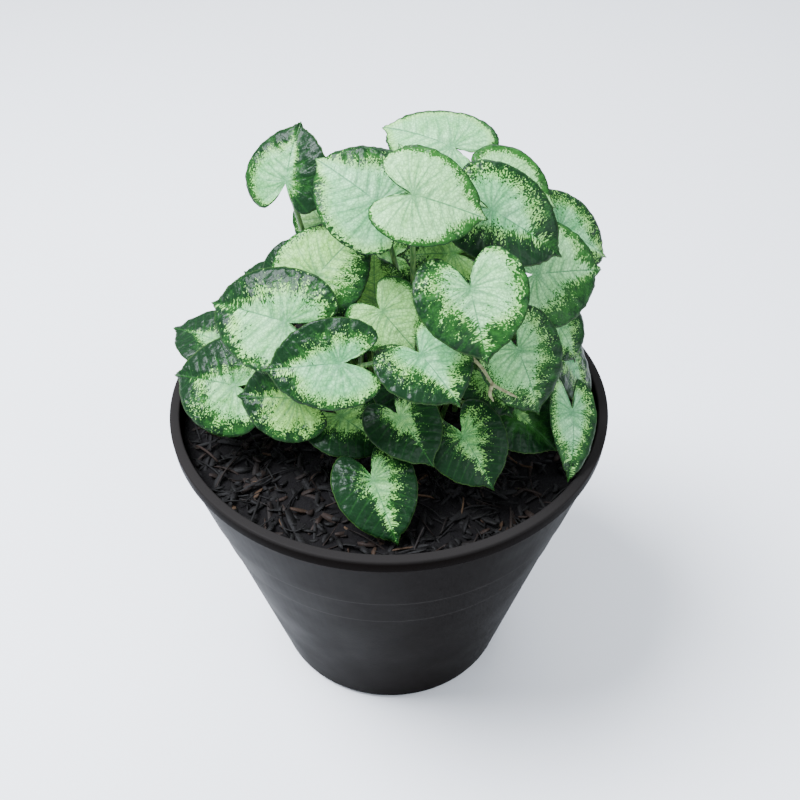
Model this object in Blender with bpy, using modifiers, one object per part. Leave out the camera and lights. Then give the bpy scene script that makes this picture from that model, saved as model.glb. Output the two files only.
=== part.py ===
"""A small-leaved variegated aroid in a round plastic nursery pot.

The pot stands on its flat base with the middle of its underside at the
origin, +Z up. The front, which faces the viewer, is towards -Y. Lengths in
the tables are millimetres and angles are degrees; MM turns them to metres.
"""

import itertools
import math
import random

import bmesh
import bpy
from mathutils import Matrix, Vector, noise
from mathutils.bvhtree import BVHTree

MM = 0.001

# Pot, a turned and tapered shell
RIM_RADIUS = 100
POT_HEIGHT = 160
BASE_RADIUS = 61
WALL = 2.0
LIP_WIDTH = 4.5
LIP_HEIGHT = 7
LIP_STEP = 1.6
LIP_ROUND = 0.9
LIP_TAPER = 0.3
STEP_HEIGHTS = (120, 101)
STEP_DEPTH = 0.5
BASE_CORNER = 5
DRAIN_RADIUS = 4.5
DRAIN_RING = 42
DRAIN_COUNT = 6
DRAIN_SIDES = 12
POT_SIDES = 36

# Soil, a plug of bark and husk that fills the pot
SOIL_TOP = 148
SOIL_GAP = 0.35
SOIL_RINGS = 8
SOIL_BUMP = 2.2
SOIL_GRAIN = 9
HOLE_DEPTH = 11
HOLE_SIDES = 6

# Blades
BLADE_THICK = 0.8
STATIONS = 18
MID_RING = 0.55

# Shape of a blade as shares of its length: least and most of the fold along
# the midrib, the arch across, the droop of the tip, the sag of the lobes,
# and the wave of the edge with its counts of waves
FOLD = (0.16, 0.26)
FOLD_ROUND = 0.04
ARCH = (0.26, 0.38)
DROOP = (0.10, 0.26)
SAG = (0.05, 0.25)
WAVE = (0.018, 0.035)
WAVE_COUNTS = (3, 4, 5)

# Room kept between one blade and the next, and round the top of each stalk
CLEAR_GAP = 1.6
CLEAR_STEP = 0.5
CLEAR_STEPS = 80
NECK_GAP = 2.3
NECK_LEAN = 0.4
NECK_REACH = (2, 4, 7)

# Stalks: they rise straight from the soil, bend, and end as the blade's rib
STALK_RADIUS = 1.25
STALK_END_RADIUS = 0.6
STALK_NECK = 0.8
STALK_GAP = 0.35
STALK_STEPS = 3
STRAIGHT_TOP = 3
RISE = 0.45
DROP = 0.35
TOP_BOW = 0.5
HEART_SINK = 0.5
RIB_SINK = 0.2

# Places where the stalks stand in the soil
CROWN_MIDDLE = (2, 8)
CROWN_SPACING = 4.3
CROWN_PULL = 0.33

# Choices tried for a stalk: the nearest places, how far it leans to the tip
# and up as it meets the blade, and how far it bows sideways. The first that
# leaves enough room is taken. The leaves furthest from the freest height
# choose first.
NEAR_SPOTS = 8
LEAVINGS = ((0.5, 0.6), (0, 0.6), (1, 0.6), (1.6, 0.6), (0.5, 2.5), (-0.6, 0.6), (2.5, 1.5))
BOWS = (0, 8, -8, 16, -16)
ENOUGH_ROOM = 0.8
FREEST_HEIGHT = 220
SAMPLE_STEP = 2
LOOK_REACH = 8
OWN_REACH = 7

# Half of the blade's edge from tip to notch, for a blade whose length from
# heart to tip is 1: turn from the tip in degrees, and distance from the heart
HALF_EDGE = (
    (0, 1.00),
    (5, 0.905),
    (22, 0.835),
    (46, 0.77),
    (75, 0.73),
    (104, 0.71),
    (129, 0.68),
    (147, 0.59),
    (159, 0.34),
    (180, 0.05),
)

# Each leaf seen from the front, inner ones first: the place of its heart
# (x, y, z), the bearing and the tilt that its face looks to, the turn of its
# tip from straight downhill, its length from heart to tip, and its width
LEAVES = (
    (26, 26, 270, 12, 70, -130, 32, 0.92),
    (15, 5, 262, -10, 36, -144, 22, 0.95),
    (44, 14, 257, 15, 52, 66, 26, 1.0),
    (72, 14, 239, 44, 50, 42, 28, 0.9),
    (-40, 6, 266, -24, 34, 184, 24, 1.05),
    (-27, 14, 241, -20, 45, -130, 19, 0.9),
    (-44, 7, 222, -35, 42, 172, 18, 0.9),
    (-49, 14, 211, -30, 72, -95, 20, 0.9),
    (2, 12, 226, 0, 50, -80, 22, 1.0),
    (27, -2, 237, 0, 60, -92, 22, 1.0),
    (-5, -18, 225, -10, 40, -170, 20, 1.0),
    (-4, -9, 263, 4, 50, -132, 31, 0.95),
    (40, -13, 264, 12, 46, 54, 34, 0.8),
    (10, -22, 276, 0, 48, 74, 29, 0.9),
    (60, -6, 229, 14, 45, 88, 31, 1.05),
    (77, 18, 190, 60, 45, 36, 22, 0.9),
    (71, -8, 207, 35, 42, 15, 21, 0.9),
    (-28, -18, 237, -8, 46, 144, 28, 0.95),
    (-75, 2, 188, -20, 72, -98, 27, 0.8),
    (-38, -28, 218, -15, 52, -98, 36, 0.85),
    (-2, -32, 230, 0, 40, 41, 20, 1.1),
    (31, -42, 248, 3, 50, 11, 29, 1.05),
    (52, -36, 214, 22, 35, 12, 30, 0.85),
    (80, -4, 182, 62, 32, 2, 27, 0.7),
    (-65, -20, 180, -15, 52, -92, 31, 1.0),
    (-38, -36, 188, -12, 45, -85, 27, 0.95),
    (-20, -38, 180, -5, 62, 60, 25, 0.95),
    (7, -34, 194, 0, 35, -4, 21, 0.9),
    (13, -47, 213, 0, 74, 36, 25, 1.1),
    (-17, -46, 214, -8, 45, -80, 31, 0.8),
    (42, -30, 194, 10, 50, 25, 19, 1.0),
    (54, -34, 179, 12, 58, 38, 24, 0.95),
    (73.2, -33.8, 176.8, 45, 44, -30, 29, 0.58),
    (5, -42, 174, 0, 66, 35, 24, 0.9),
    (31, -52, 182, 2, 56, 28, 25, 0.95),
    (-6, -66, 171, -3, 58, 24, 28, 0.85),
)

# Leaves at the back of the clump, in rows: height of the hearts, distance
# from the clump's middle, how many, and how far they spread to each side
BACK_ROWS = (
    (174, 60, 5, 76),
    (198, 60, 5, 66),
    (220, 50, 3, 46),
    (240, 34, 2, 40),
)
BACK_LENGTH = 27
BACK_SEED = 7
BACK_TILT = 22
BACK_TILT_RISE = 0.45

# Colours as red, green and blue, and roughness
POT_FINISH = ((0.012, 0.012, 0.014), 0.35)
SOIL_FINISH = ((0.02, 0.013, 0.009), 0.95)
LEAF_FINISH = ((0.22, 0.42, 0.16), 0.4)


def leaf_axes(bearing, tilt, turn):
    """Turning of a leaf: +X to its tip, +Z the way its face looks."""
    b, t, w = (math.radians(angle) for angle in (bearing, tilt, turn))
    downhill = Vector((math.sin(b) * math.sin(t), -math.cos(b) * math.sin(t), -math.cos(t)))
    across = Vector((math.cos(b), math.sin(b), 0))
    face = Vector((math.sin(b) * math.cos(t), -math.cos(b) * math.cos(t), math.sin(t)))
    tip = downhill * math.cos(w) + across * math.sin(w)
    return Matrix((tip, face.cross(tip), face)).transposed()


def edge_point(station):
    """Point of the blade's edge at a station, counted from the tip."""
    half = len(HALF_EDGE) - 1
    side = 1 if station <= half else -1
    along = min(station, 2 * half - station)
    low = min(int(along), half - 1)
    part = along - low

    def knot(i):
        turn, reach = HALF_EDGE[i]
        return Vector((math.cos(math.radians(turn)), math.sin(math.radians(turn)))) * reach

    b, c = knot(low), knot(low + 1)
    a = knot(low - 1) if low > 0 else b * 2 - c
    d = knot(low + 2) if low + 2 <= half else c * 2 - b
    point = (
        b * 2
        + (c - a) * part
        + (a * 2 - b * 5 + c * 4 - d) * part**2
        + (b * 3 - a - c * 3 + d) * part**3
    ) / 2
    return Vector((point.x, point.y * side))


class Leaf:
    """One leaf: a heart-shaped blade on a stalk."""

    def __init__(self, index, row):
        x, y, z, bearing, tilt, turn, self.length, self.width = row
        self.name = f"leaf_{index:02d}"
        self.heart = Vector((x, y, z))
        self.axes = leaf_axes(bearing, tilt, turn)
        self.face = self.axes.col[2].copy()
        self.tip = self.axes.col[0].copy()
        draw = random.Random(index)
        self.fold = draw.uniform(*FOLD)
        self.arch = draw.uniform(*ARCH)
        self.droop = draw.uniform(*DROOP)
        self.sag = draw.uniform(*SAG)
        self.wave = draw.uniform(*WAVE)
        self.waves = draw.choice(WAVE_COUNTS)
        self.phase = draw.uniform(0, 2 * math.pi)
        self.route = []

    def point(self, station, out):
        """Point of the blade at a station round the edge, out from 0 to 1."""
        edge = edge_point(station) * out
        u, v = edge.x, edge.y * self.width
        lift = (
            self.fold * (math.hypot(v, FOLD_ROUND) - FOLD_ROUND)
            - self.arch * v * v
            - (self.droop if u > 0 else self.sag) * u * u
            + self.wave * out**3 * math.sin(self.waves * math.tau * station / STATIONS + self.phase)
        )
        return self.heart + self.axes @ (Vector((u, v, lift)) * self.length)


def back_leaves():
    """Rows of leaves round the back of the clump, facing out and up."""
    draw = random.Random(BACK_SEED)
    rows = []
    for height, reach, count, spread in BACK_ROWS:
        for i in range(count):
            part = (i + draw.uniform(0.35, 0.65)) / count
            bearing = 180 + spread * (2 * part - 1)
            away = reach * draw.uniform(0.9, 1.05)
            x = CROWN_MIDDLE[0] + away * math.sin(math.radians(bearing))
            y = CROWN_MIDDLE[1] - away * math.cos(math.radians(bearing))
            z = height + draw.uniform(-5, 5)
            tilt = BACK_TILT + (height - BACK_ROWS[0][0]) * BACK_TILT_RISE + draw.uniform(-8, 8)
            turn = draw.uniform(-45, 45)
            length = BACK_LENGTH * draw.uniform(0.85, 1.15)
            rows.append((x, y, z, bearing + draw.uniform(-12, 12), tilt, turn, length, 1.0))
    return rows


def blade_sheet(leaf):
    """Disc of triangles whose points are then laid on the blade."""
    bm = bmesh.new()
    bmesh.ops.create_circle(bm, cap_ends=True, segments=STATIONS, radius=1)
    inset = (1 - MID_RING) * math.cos(math.pi / STATIONS)
    bmesh.ops.inset_individual(bm, faces=bm.faces[:], thickness=inset, use_even_offset=True)
    bmesh.ops.poke(bm, faces=[face for face in bm.faces if len(face.verts) > 4])
    bmesh.ops.triangulate(bm, faces=bm.faces[:])
    for vert in bm.verts:
        turn = math.atan2(vert.co.y, vert.co.x) - math.pi / 2
        station = round(turn * STATIONS / math.tau) % STATIONS
        vert.co = leaf.point(station, min(vert.co.length, 1))
    return bm


def neck(leaf):
    """Points along the first stretch of a leaf's stalk, under its heart."""
    return [leaf.heart - (leaf.face + leaf.tip * NECK_LEAN) * reach for reach in NECK_REACH]


def spread_leaves(leaves):
    """Move each leaf out along its face until it clears those before it."""
    points, faces, necks = [], [], []
    for leaf in leaves:
        bm = blade_sheet(leaf)
        bm.verts.index_update()
        sheet = [vert.co.copy() for vert in bm.verts]
        tris = [[vert.index for vert in face.verts] for face in bm.faces]
        bm.free()
        if points:
            tree = BVHTree.FromPolygons(points, faces)
            for _ in range(CLEAR_STEPS):
                if is_clear(sheet, tris, neck(leaf), tree, necks):
                    break
                shift = leaf.face * CLEAR_STEP
                sheet = [point + shift for point in sheet]
                leaf.heart += shift
        first = len(points)
        points += sheet
        faces += [[first + i for i in tri] for tri in tris]
        necks += neck(leaf)


def is_clear(sheet, tris, own_neck, tree, necks):
    """Whether a blade and its neck keep clear of the leaves laid before."""
    own = BVHTree.FromPolygons(sheet, tris)
    if own.overlap(tree):
        return False
    middles = [(sheet[a] + sheet[b] + sheet[c]) / 3 for a, b, c in tris]
    if any(tree.find_nearest(point, CLEAR_GAP)[0] for point in sheet + middles):
        return False
    if any(tree.find_nearest(point, NECK_GAP)[0] for point in own_neck):
        return False
    return not any(own.find_nearest(point, NECK_GAP)[0] for point in necks)


def crown_spots(count):
    """Places on the soil where stalks rise, packed like seeds in a head."""
    turn = math.pi * (3 - math.sqrt(5))
    spots = []
    for i in range(count):
        away = CROWN_SPACING * math.sqrt(i + 0.5)
        x = CROWN_MIDDLE[0] + away * math.cos(i * turn)
        y = CROWN_MIDDLE[1] + away * math.sin(i * turn)
        spots.append(Vector((x, y, SOIL_TOP)))
    return spots


def stalk_route(leaf, spot, lean, sink, bow):
    """Points of a stalk from its foot in the soil to the rib of its blade."""
    foot = Vector((spot.x, spot.y, SOIL_TOP - HOLE_DEPTH + STALK_GAP))
    start = spot + Vector((0, 0, STRAIGHT_TOP))
    under = leaf.heart - leaf.face * (BLADE_THICK / 2 + STALK_RADIUS * HEART_SINK)
    rib = leaf.point(0, MID_RING) - leaf.face * (BLADE_THICK / 2 + STALK_END_RADIUS * RIB_SINK)
    span = (under - start).length
    across = Vector((0, 0, 1)).cross(under - start).normalized()
    rise = start + Vector((0, 0, span * RISE)) + across * bow
    leave = (leaf.tip * lean + leaf.face + Vector((0, 0, sink))).normalized()
    drop = under - leave * span * DROP + across * bow * TOP_BOW
    points = [foot, start]
    for i in range(1, STALK_STEPS + 1):
        t = i / STALK_STEPS
        s = 1 - t
        points.append(start * s**3 + rise * 3 * s * s * t + drop * 3 * s * t * t + under * t**3)
    points.append(rib)
    return points


def samples(route):
    """Evenly spaced points along a route, its rib under the blade left out."""
    found = []
    for a, b in zip(route[1:-2], route[2:-1]):
        count = max(1, round((b - a).length / SAMPLE_STEP))
        found += [a.lerp(b, i / count) for i in range(count)]
    return found


def route_room(leaf, route, blades, own, laid):
    """Least room in millimetres that a route leaves round its stalk."""
    path = samples(route)
    room = LOOK_REACH
    for point in path:
        near = blades.find_nearest(point, LOOK_REACH)
        if near[0] is not None:
            room = min(room, near[3] - STALK_RADIUS - BLADE_THICK / 2)
        if (point - leaf.heart).length > OWN_REACH:
            near = own.find_nearest(point, LOOK_REACH)
            if near[0] is not None:
                room = min(room, near[3] - STALK_RADIUS - BLADE_THICK / 2)
        if room < 0:
            return room
    for point in path:
        for other in laid:
            room = min(room, (point - other).length - 2 * STALK_RADIUS)
    return room


def lay_stalks(leaves):
    """Give each leaf a root spot and a stalk clear of blades and stalks.

    The highest and lowest leaves choose first, as they have the least choice.
    """
    sheets = {}
    for leaf in leaves:
        bm = blade_sheet(leaf)
        bm.verts.index_update()
        sheets[leaf.name] = (
            [vert.co.copy() for vert in bm.verts],
            [[vert.index for vert in face.verts] for face in bm.faces],
        )
        bm.free()
    spots = crown_spots(len(leaves))
    middle = Vector((*CROWN_MIDDLE, SOIL_TOP))
    laid = []
    for leaf in sorted(leaves, key=lambda one: -abs(one.heart.z - FREEST_HEIGHT)):
        points, faces = [], []
        for name, (sheet, tris) in sheets.items():
            if name != leaf.name:
                first = len(points)
                points += sheet
                faces += [[first + i for i in tri] for tri in tris]
        blades = BVHTree.FromPolygons(points, faces)
        own = BVHTree.FromPolygons(*sheets[leaf.name])
        aim = middle + (leaf.heart - middle) * CROWN_PULL
        aim.z = SOIL_TOP
        best = None
        near = sorted(spots, key=lambda one: (one - aim).length)[:NEAR_SPOTS]
        for spot, (lean, sink), bow in itertools.product(near, LEAVINGS, BOWS):
            route = stalk_route(leaf, spot, lean, sink, bow)
            room = route_room(leaf, route, blades, own, laid)
            if best is None or room > best[0]:
                best = (room, spot, route)
            if room > ENOUGH_ROOM:
                break
        leaf.route = best[2]
        spots.remove(best[1])
        laid += samples(leaf.route)


def material(name, finish):
    """Plain material with a colour and a roughness."""
    colour, roughness = finish
    made = bpy.data.materials.new(name)
    made.use_nodes = True
    shader = made.node_tree.nodes["Principled BSDF"]
    shader.inputs["Base Color"].default_value = (*colour, 1)
    shader.inputs["Roughness"].default_value = roughness
    shader.inputs["Metallic"].default_value = 0
    return made


def new_object(name, mesh, collection, finish=None):
    """Object for a mesh, with its material, in a collection."""
    made = bpy.data.objects.new(name, mesh)
    collection.objects.link(made)
    if finish is not None:
        mesh.materials.clear()
        mesh.materials.append(finish)
    return made


def mesh_from(bm, name):
    """Mesh in metres from a bmesh whose lengths are millimetres."""
    bmesh.ops.scale(bm, vec=(MM, MM, MM), verts=bm.verts[:])
    mesh = bpy.data.meshes.new(name)
    bm.to_mesh(mesh)
    bm.free()
    return mesh


def applied(thing):
    """Replace an object's mesh by its evaluated one and drop its modifiers."""
    graph = bpy.context.evaluated_depsgraph_get()
    mesh = bpy.data.meshes.new_from_object(thing.evaluated_get(graph))
    thing.modifiers.clear()
    thing.data = mesh


def wall_radius(height):
    """Outer radius of the pot's wall at a height."""
    top = POT_HEIGHT - LIP_HEIGHT
    radius = BASE_RADIUS + (RIM_RADIUS - LIP_STEP - BASE_RADIUS) * height / top
    return radius - STEP_DEPTH * sum(height < step for step in STEP_HEIGHTS)


def pot_profile():
    """Radius and height of the shell's section, down outside and up inside."""
    lip_low = POT_HEIGHT - LIP_HEIGHT
    points = [
        (RIM_RADIUS - LIP_ROUND, POT_HEIGHT),
        (RIM_RADIUS, POT_HEIGHT - LIP_ROUND),
        (RIM_RADIUS - LIP_TAPER, lip_low + LIP_ROUND),
        (wall_radius(lip_low), lip_low),
    ]
    for step in STEP_HEIGHTS:
        points.append((wall_radius(step), step))
        points.append((wall_radius(step - 1), step - 1))
    for i in range(3):
        turn = math.pi / 2 * i / 2
        radius = wall_radius(BASE_CORNER) - BASE_CORNER * (1 - math.cos(turn))
        points.append((radius, BASE_CORNER * (1 - math.sin(turn))))
    inner_base = wall_radius(BASE_CORNER) - WALL
    points.append((0, 0))
    points.append((0, WALL))
    points.append((inner_base - BASE_CORNER, WALL))
    points.append((inner_base, WALL + BASE_CORNER))
    points.append((wall_radius(lip_low) - WALL, lip_low))
    points.append((RIM_RADIUS - LIP_WIDTH, POT_HEIGHT - LIP_ROUND))
    points.append((RIM_RADIUS - LIP_WIDTH + LIP_ROUND, POT_HEIGHT))
    return points


def make_pot(parts, cutters):
    """Turned shell with drain holes through its floor."""
    bm = bmesh.new()
    verts = [bm.verts.new((radius, 0, height)) for radius, height in pot_profile()]
    for a, b in zip(verts, verts[1:] + verts[:1]):
        if a.co.x > 0 or b.co.x > 0:
            bm.edges.new((a, b))
    pot = new_object("pot", mesh_from(bm, "pot"), parts, material("black_plastic", POT_FINISH))
    screw = pot.modifiers.new("turn", "SCREW")
    screw.steps = screw.render_steps = POT_SIDES
    screw.use_merge_vertices = True
    screw.merge_threshold = 0.00001
    bm = bmesh.new()
    for i in range(DRAIN_COUNT):
        turn = math.tau * i / DRAIN_COUNT
        place = (DRAIN_RING * math.cos(turn), DRAIN_RING * math.sin(turn), 0)
        bmesh.ops.create_cone(
            bm,
            cap_ends=True,
            segments=DRAIN_SIDES,
            radius1=DRAIN_RADIUS,
            radius2=DRAIN_RADIUS,
            depth=4 * WALL,
            matrix=Matrix.Translation(place),
        )
    cutter = new_object("drain_cutter", mesh_from(bm, "drain_cutter"), cutters)
    cut(pot, cutter, "DIFFERENCE")
    return pot


def cut(thing, cutter, operation):
    """Boolean on an object with a wire cutter that the build leaves out."""
    cutter.hide_render = True
    cutter.display_type = "WIRE"
    boolean = thing.modifiers.new(operation.lower(), "BOOLEAN")
    boolean.operation = operation
    boolean.solver = "EXACT"
    boolean.object = cutter
    return boolean


def make_soil(leaves, parts, cutters):
    """Plug of soil with a rough top and one plain hole for each stalk."""
    floor = WALL + SOIL_GAP
    top_radius = wall_radius(SOIL_TOP) - WALL - SOIL_GAP
    low_radius = wall_radius(BASE_CORNER) - WALL - BASE_CORNER - SOIL_GAP
    wide_radius = wall_radius(WALL + BASE_CORNER) - WALL - 3 * SOIL_GAP
    bm = bmesh.new()
    turned = Matrix.Rotation(math.pi / 2, 3, "Z")
    bmesh.ops.create_circle(bm, cap_ends=True, segments=POT_SIDES, radius=top_radius)
    bmesh.ops.rotate(bm, verts=bm.verts[:], matrix=turned)
    ring = top_radius / (SOIL_RINGS + 0.5)
    for _ in range(SOIL_RINGS):
        middle = [face for face in bm.faces if len(face.verts) == POT_SIDES]
        inset = ring * math.cos(math.pi / POT_SIDES)
        bmesh.ops.inset_individual(bm, faces=middle, thickness=inset, use_even_offset=True)
    bmesh.ops.poke(bm, faces=[face for face in bm.faces if len(face.verts) == POT_SIDES])
    for vert in bm.verts:
        place = vert.co / SOIL_GRAIN
        if vert.co.length < top_radius - 1:
            vert.co.z = SOIL_BUMP * noise.noise(place, noise_basis="PERLIN_NEW")
        vert.co.z += SOIL_TOP
    walls = [edge for edge in bm.edges if edge.is_boundary]
    for radius, height in ((wide_radius, WALL + BASE_CORNER), (low_radius, floor)):
        grown = bmesh.ops.extrude_edge_only(bm, edges=walls)["geom"]
        walls = [item for item in grown if isinstance(item, bmesh.types.BMEdge)]
        walls = [edge for edge in walls if edge.is_boundary]
        for vert in {vert for edge in walls for vert in edge.verts}:
            vert.co.xy = vert.co.xy.normalized() * radius
            vert.co.z = height
    bmesh.ops.edgeloop_fill(bm, edges=walls)
    bmesh.ops.recalc_face_normals(bm, faces=bm.faces[:])
    bmesh.ops.triangulate(bm, faces=bm.faces[:])
    soil = new_object("soil", mesh_from(bm, "soil"), parts, material("dark_bark", SOIL_FINISH))
    bm = bmesh.new()
    radius = (STALK_RADIUS + STALK_GAP) / math.cos(math.pi / HOLE_SIDES)
    for leaf in leaves:
        foot = leaf.route[0]
        place = Vector((foot.x, foot.y, SOIL_TOP))
        bmesh.ops.create_cone(
            bm,
            cap_ends=True,
            segments=HOLE_SIDES,
            radius1=radius,
            radius2=radius,
            depth=2 * HOLE_DEPTH,
            matrix=Matrix.Translation(place),
        )
    cutter = new_object("hole_cutter", mesh_from(bm, "hole_cutter"), cutters)
    cut(soil, cutter, "DIFFERENCE")
    return soil


def make_stalk(leaf, cutters):
    """Tapered tube along a leaf's route, as a closed mesh."""
    curve = bpy.data.curves.new(leaf.name + "_stalk", "CURVE")
    curve.dimensions = "3D"
    curve.bevel_depth = STALK_RADIUS * MM
    curve.bevel_resolution = 1
    curve.use_fill_caps = True
    spline = curve.splines.new("POLY")
    spline.points.add(len(leaf.route) - 1)
    for i, (point, place) in enumerate(zip(spline.points, leaf.route)):
        point.co = (*(place * MM), 1)
        near_end = len(leaf.route) - 1 - i
        point.radius = STALK_END_RADIUS / STALK_RADIUS if near_end == 0 else 1
        if near_end == 1:
            point.radius = STALK_NECK
    tube = new_object(leaf.name + "_tube", curve, cutters)
    bpy.context.view_layer.update()
    graph = bpy.context.evaluated_depsgraph_get()
    mesh = bpy.data.meshes.new_from_object(tube.evaluated_get(graph))
    bpy.data.objects.remove(tube)
    bm = bmesh.new()
    bm.from_mesh(mesh)
    bmesh.ops.remove_doubles(bm, verts=bm.verts[:], dist=0.00001)
    bm.to_mesh(mesh)
    bm.free()
    return new_object(leaf.name + "_stalk", mesh, cutters)


def make_leaf(leaf, parts, cutters, finish):
    """Blade and stalk joined as one solid.

    One pair comes out empty with the exact solver and takes the other one.
    """
    mesh = mesh_from(blade_sheet(leaf), leaf.name)
    blade = new_object(leaf.name, mesh, parts, finish)
    thick = blade.modifiers.new("thick", "SOLIDIFY")
    thick.thickness = BLADE_THICK * MM
    thick.offset = 0
    stalk = make_stalk(leaf, cutters)
    join = cut(blade, stalk, "UNION")
    bpy.context.view_layer.update()
    graph = bpy.context.evaluated_depsgraph_get()
    if not blade.evaluated_get(graph).data.polygons:
        join.solver = "MANIFOLD"
        bpy.context.view_layer.update()
    applied(blade)
    bpy.data.objects.remove(stalk)
    return blade


def new_collection(name):
    """Collection linked to the scene."""
    made = bpy.data.collections.new(name)
    bpy.context.scene.collection.children.link(made)
    return made


def main():
    for old in list(bpy.data.objects):
        bpy.data.objects.remove(old)
    parts = new_collection("potted_plant")
    cutters = new_collection("cutters")
    rows = list(LEAVES) + back_leaves()
    leaves = [Leaf(i + 1, row) for i, row in enumerate(rows)]
    spread_leaves(leaves)
    lay_stalks(leaves)
    make_pot(parts, cutters)
    make_soil(leaves, parts, cutters)
    finish = material("leaf_green", LEAF_FINISH)
    for leaf in leaves:
        make_leaf(leaf, parts, cutters, finish)


main()
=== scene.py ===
"""Looks for a small-leaved variegated plant in a round plastic nursery pot.

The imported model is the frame. Every leaf, the pot and the soil get a finer
piece that keeps the form of its solid, bark and husk are scattered on the
soil, a dried sheath hangs from one stalk, and each finish is made of nodes.
Lengths in the tables are millimetres and angles are degrees; MM turns them
to metres.
"""

import functools
import itertools
import math
import random

import bmesh
import bpy
from bpy.props import FloatProperty, FloatVectorProperty, IntProperty, PointerProperty
from mathutils import Matrix, Vector, noise
from mathutils.bvhtree import BVHTree


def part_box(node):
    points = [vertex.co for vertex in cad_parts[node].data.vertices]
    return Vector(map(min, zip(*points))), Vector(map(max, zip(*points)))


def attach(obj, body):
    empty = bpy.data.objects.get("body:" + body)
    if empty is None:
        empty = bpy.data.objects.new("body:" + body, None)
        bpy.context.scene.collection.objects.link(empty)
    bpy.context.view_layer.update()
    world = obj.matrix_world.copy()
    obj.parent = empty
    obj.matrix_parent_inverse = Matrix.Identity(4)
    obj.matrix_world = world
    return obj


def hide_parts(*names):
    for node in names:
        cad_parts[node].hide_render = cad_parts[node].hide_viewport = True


bl_info = {
    "name": "Potted Leafy Plant",
    "version": (1, 0, 0),
    "blender": (4, 5, 0),
    "location": "View3D > Sidebar > Plant",
    "description": "Leaves, pot, soil and stage for a packed model of a potted plant",
    "category": "Object",
}

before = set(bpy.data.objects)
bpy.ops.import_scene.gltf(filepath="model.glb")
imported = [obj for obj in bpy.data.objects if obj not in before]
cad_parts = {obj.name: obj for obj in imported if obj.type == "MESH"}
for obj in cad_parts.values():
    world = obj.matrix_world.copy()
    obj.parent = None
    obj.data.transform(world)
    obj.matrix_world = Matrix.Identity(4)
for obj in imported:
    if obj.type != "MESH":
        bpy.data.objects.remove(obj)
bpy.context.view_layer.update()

MM = 0.001

# Pot, a turned and tapered shell
RIM_RADIUS = 100
POT_HEIGHT = 160
BASE_RADIUS = 61
WALL = 2.0
LIP_WIDTH = 4.5
LIP_HEIGHT = 7
LIP_STEP = 1.6
LIP_ROUND = 0.9
LIP_TAPER = 0.3
STEP_HEIGHTS = (120, 101)
STEP_DEPTH = 0.5
STEP_RISE = 1
BASE_CORNER = 5
DRAIN_RADIUS = 4.5
DRAIN_RING = 42
DRAIN_COUNT = 6
DRAIN_SIDES = 32
MERGE = 0.001

# Soil
SOIL_TOP = 148
SOIL_GAP = 0.35
SOIL_BUMP = 2.2
SOIL_GRAIN = 9
HOLE_DEPTH = 11

# Blades: thickness, points round the edge, and the ring halfway in; then the
# forms of a blade in shares of its length, least and most
BLADE_THICK = 0.8
STATIONS = 18
MID_RING = 0.55
FOLD = (0.16, 0.26)
FOLD_ROUND = 0.04
ARCH = (0.26, 0.38)
DROOP = (0.10, 0.26)
SAG = (0.05, 0.25)
WAVE = (0.018, 0.035)
WAVE_COUNTS = (3, 4, 5)

# Room kept between one blade and the next, and round the top of each stalk
CLEAR_GAP = 1.6
CLEAR_STEP = 0.5
CLEAR_STEPS = 80
NECK_GAP = 2.3
NECK_LEAN = 0.4
NECK_REACH = (2, 4, 7)

# Stalks
STALK_RADIUS = 1.25
STALK_END_RADIUS = 0.6
STALK_GAP = 0.35
STALK_STEPS = 3
STRAIGHT_TOP = 3
RISE = 0.45
DROP = 0.35
TOP_BOW = 0.5
HEART_SINK = 0.5
RIB_SINK = 0.2
CROWN_MIDDLE = (2, 8)
CROWN_SPACING = 4.3
CROWN_PULL = 0.33
NEAR_SPOTS = 8
LEAVINGS = ((0.5, 0.6), (0, 0.6), (1, 0.6), (1.6, 0.6), (0.5, 2.5), (-0.6, 0.6), (2.5, 1.5))
BOWS = (0, 8, -8, 16, -16)
ENOUGH_ROOM = 0.8
FREEST_HEIGHT = 220
SAMPLE_STEP = 2
LOOK_REACH = 8
OWN_REACH = 7

# Half of the blade's edge from tip to notch, for a blade whose length from
# heart to tip is 1: turn from the tip in degrees, and distance from the heart
HALF_EDGE = (
    (0, 1.00),
    (5, 0.905),
    (22, 0.835),
    (46, 0.77),
    (75, 0.73),
    (104, 0.71),
    (129, 0.68),
    (147, 0.59),
    (159, 0.34),
    (180, 0.05),
)

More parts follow.
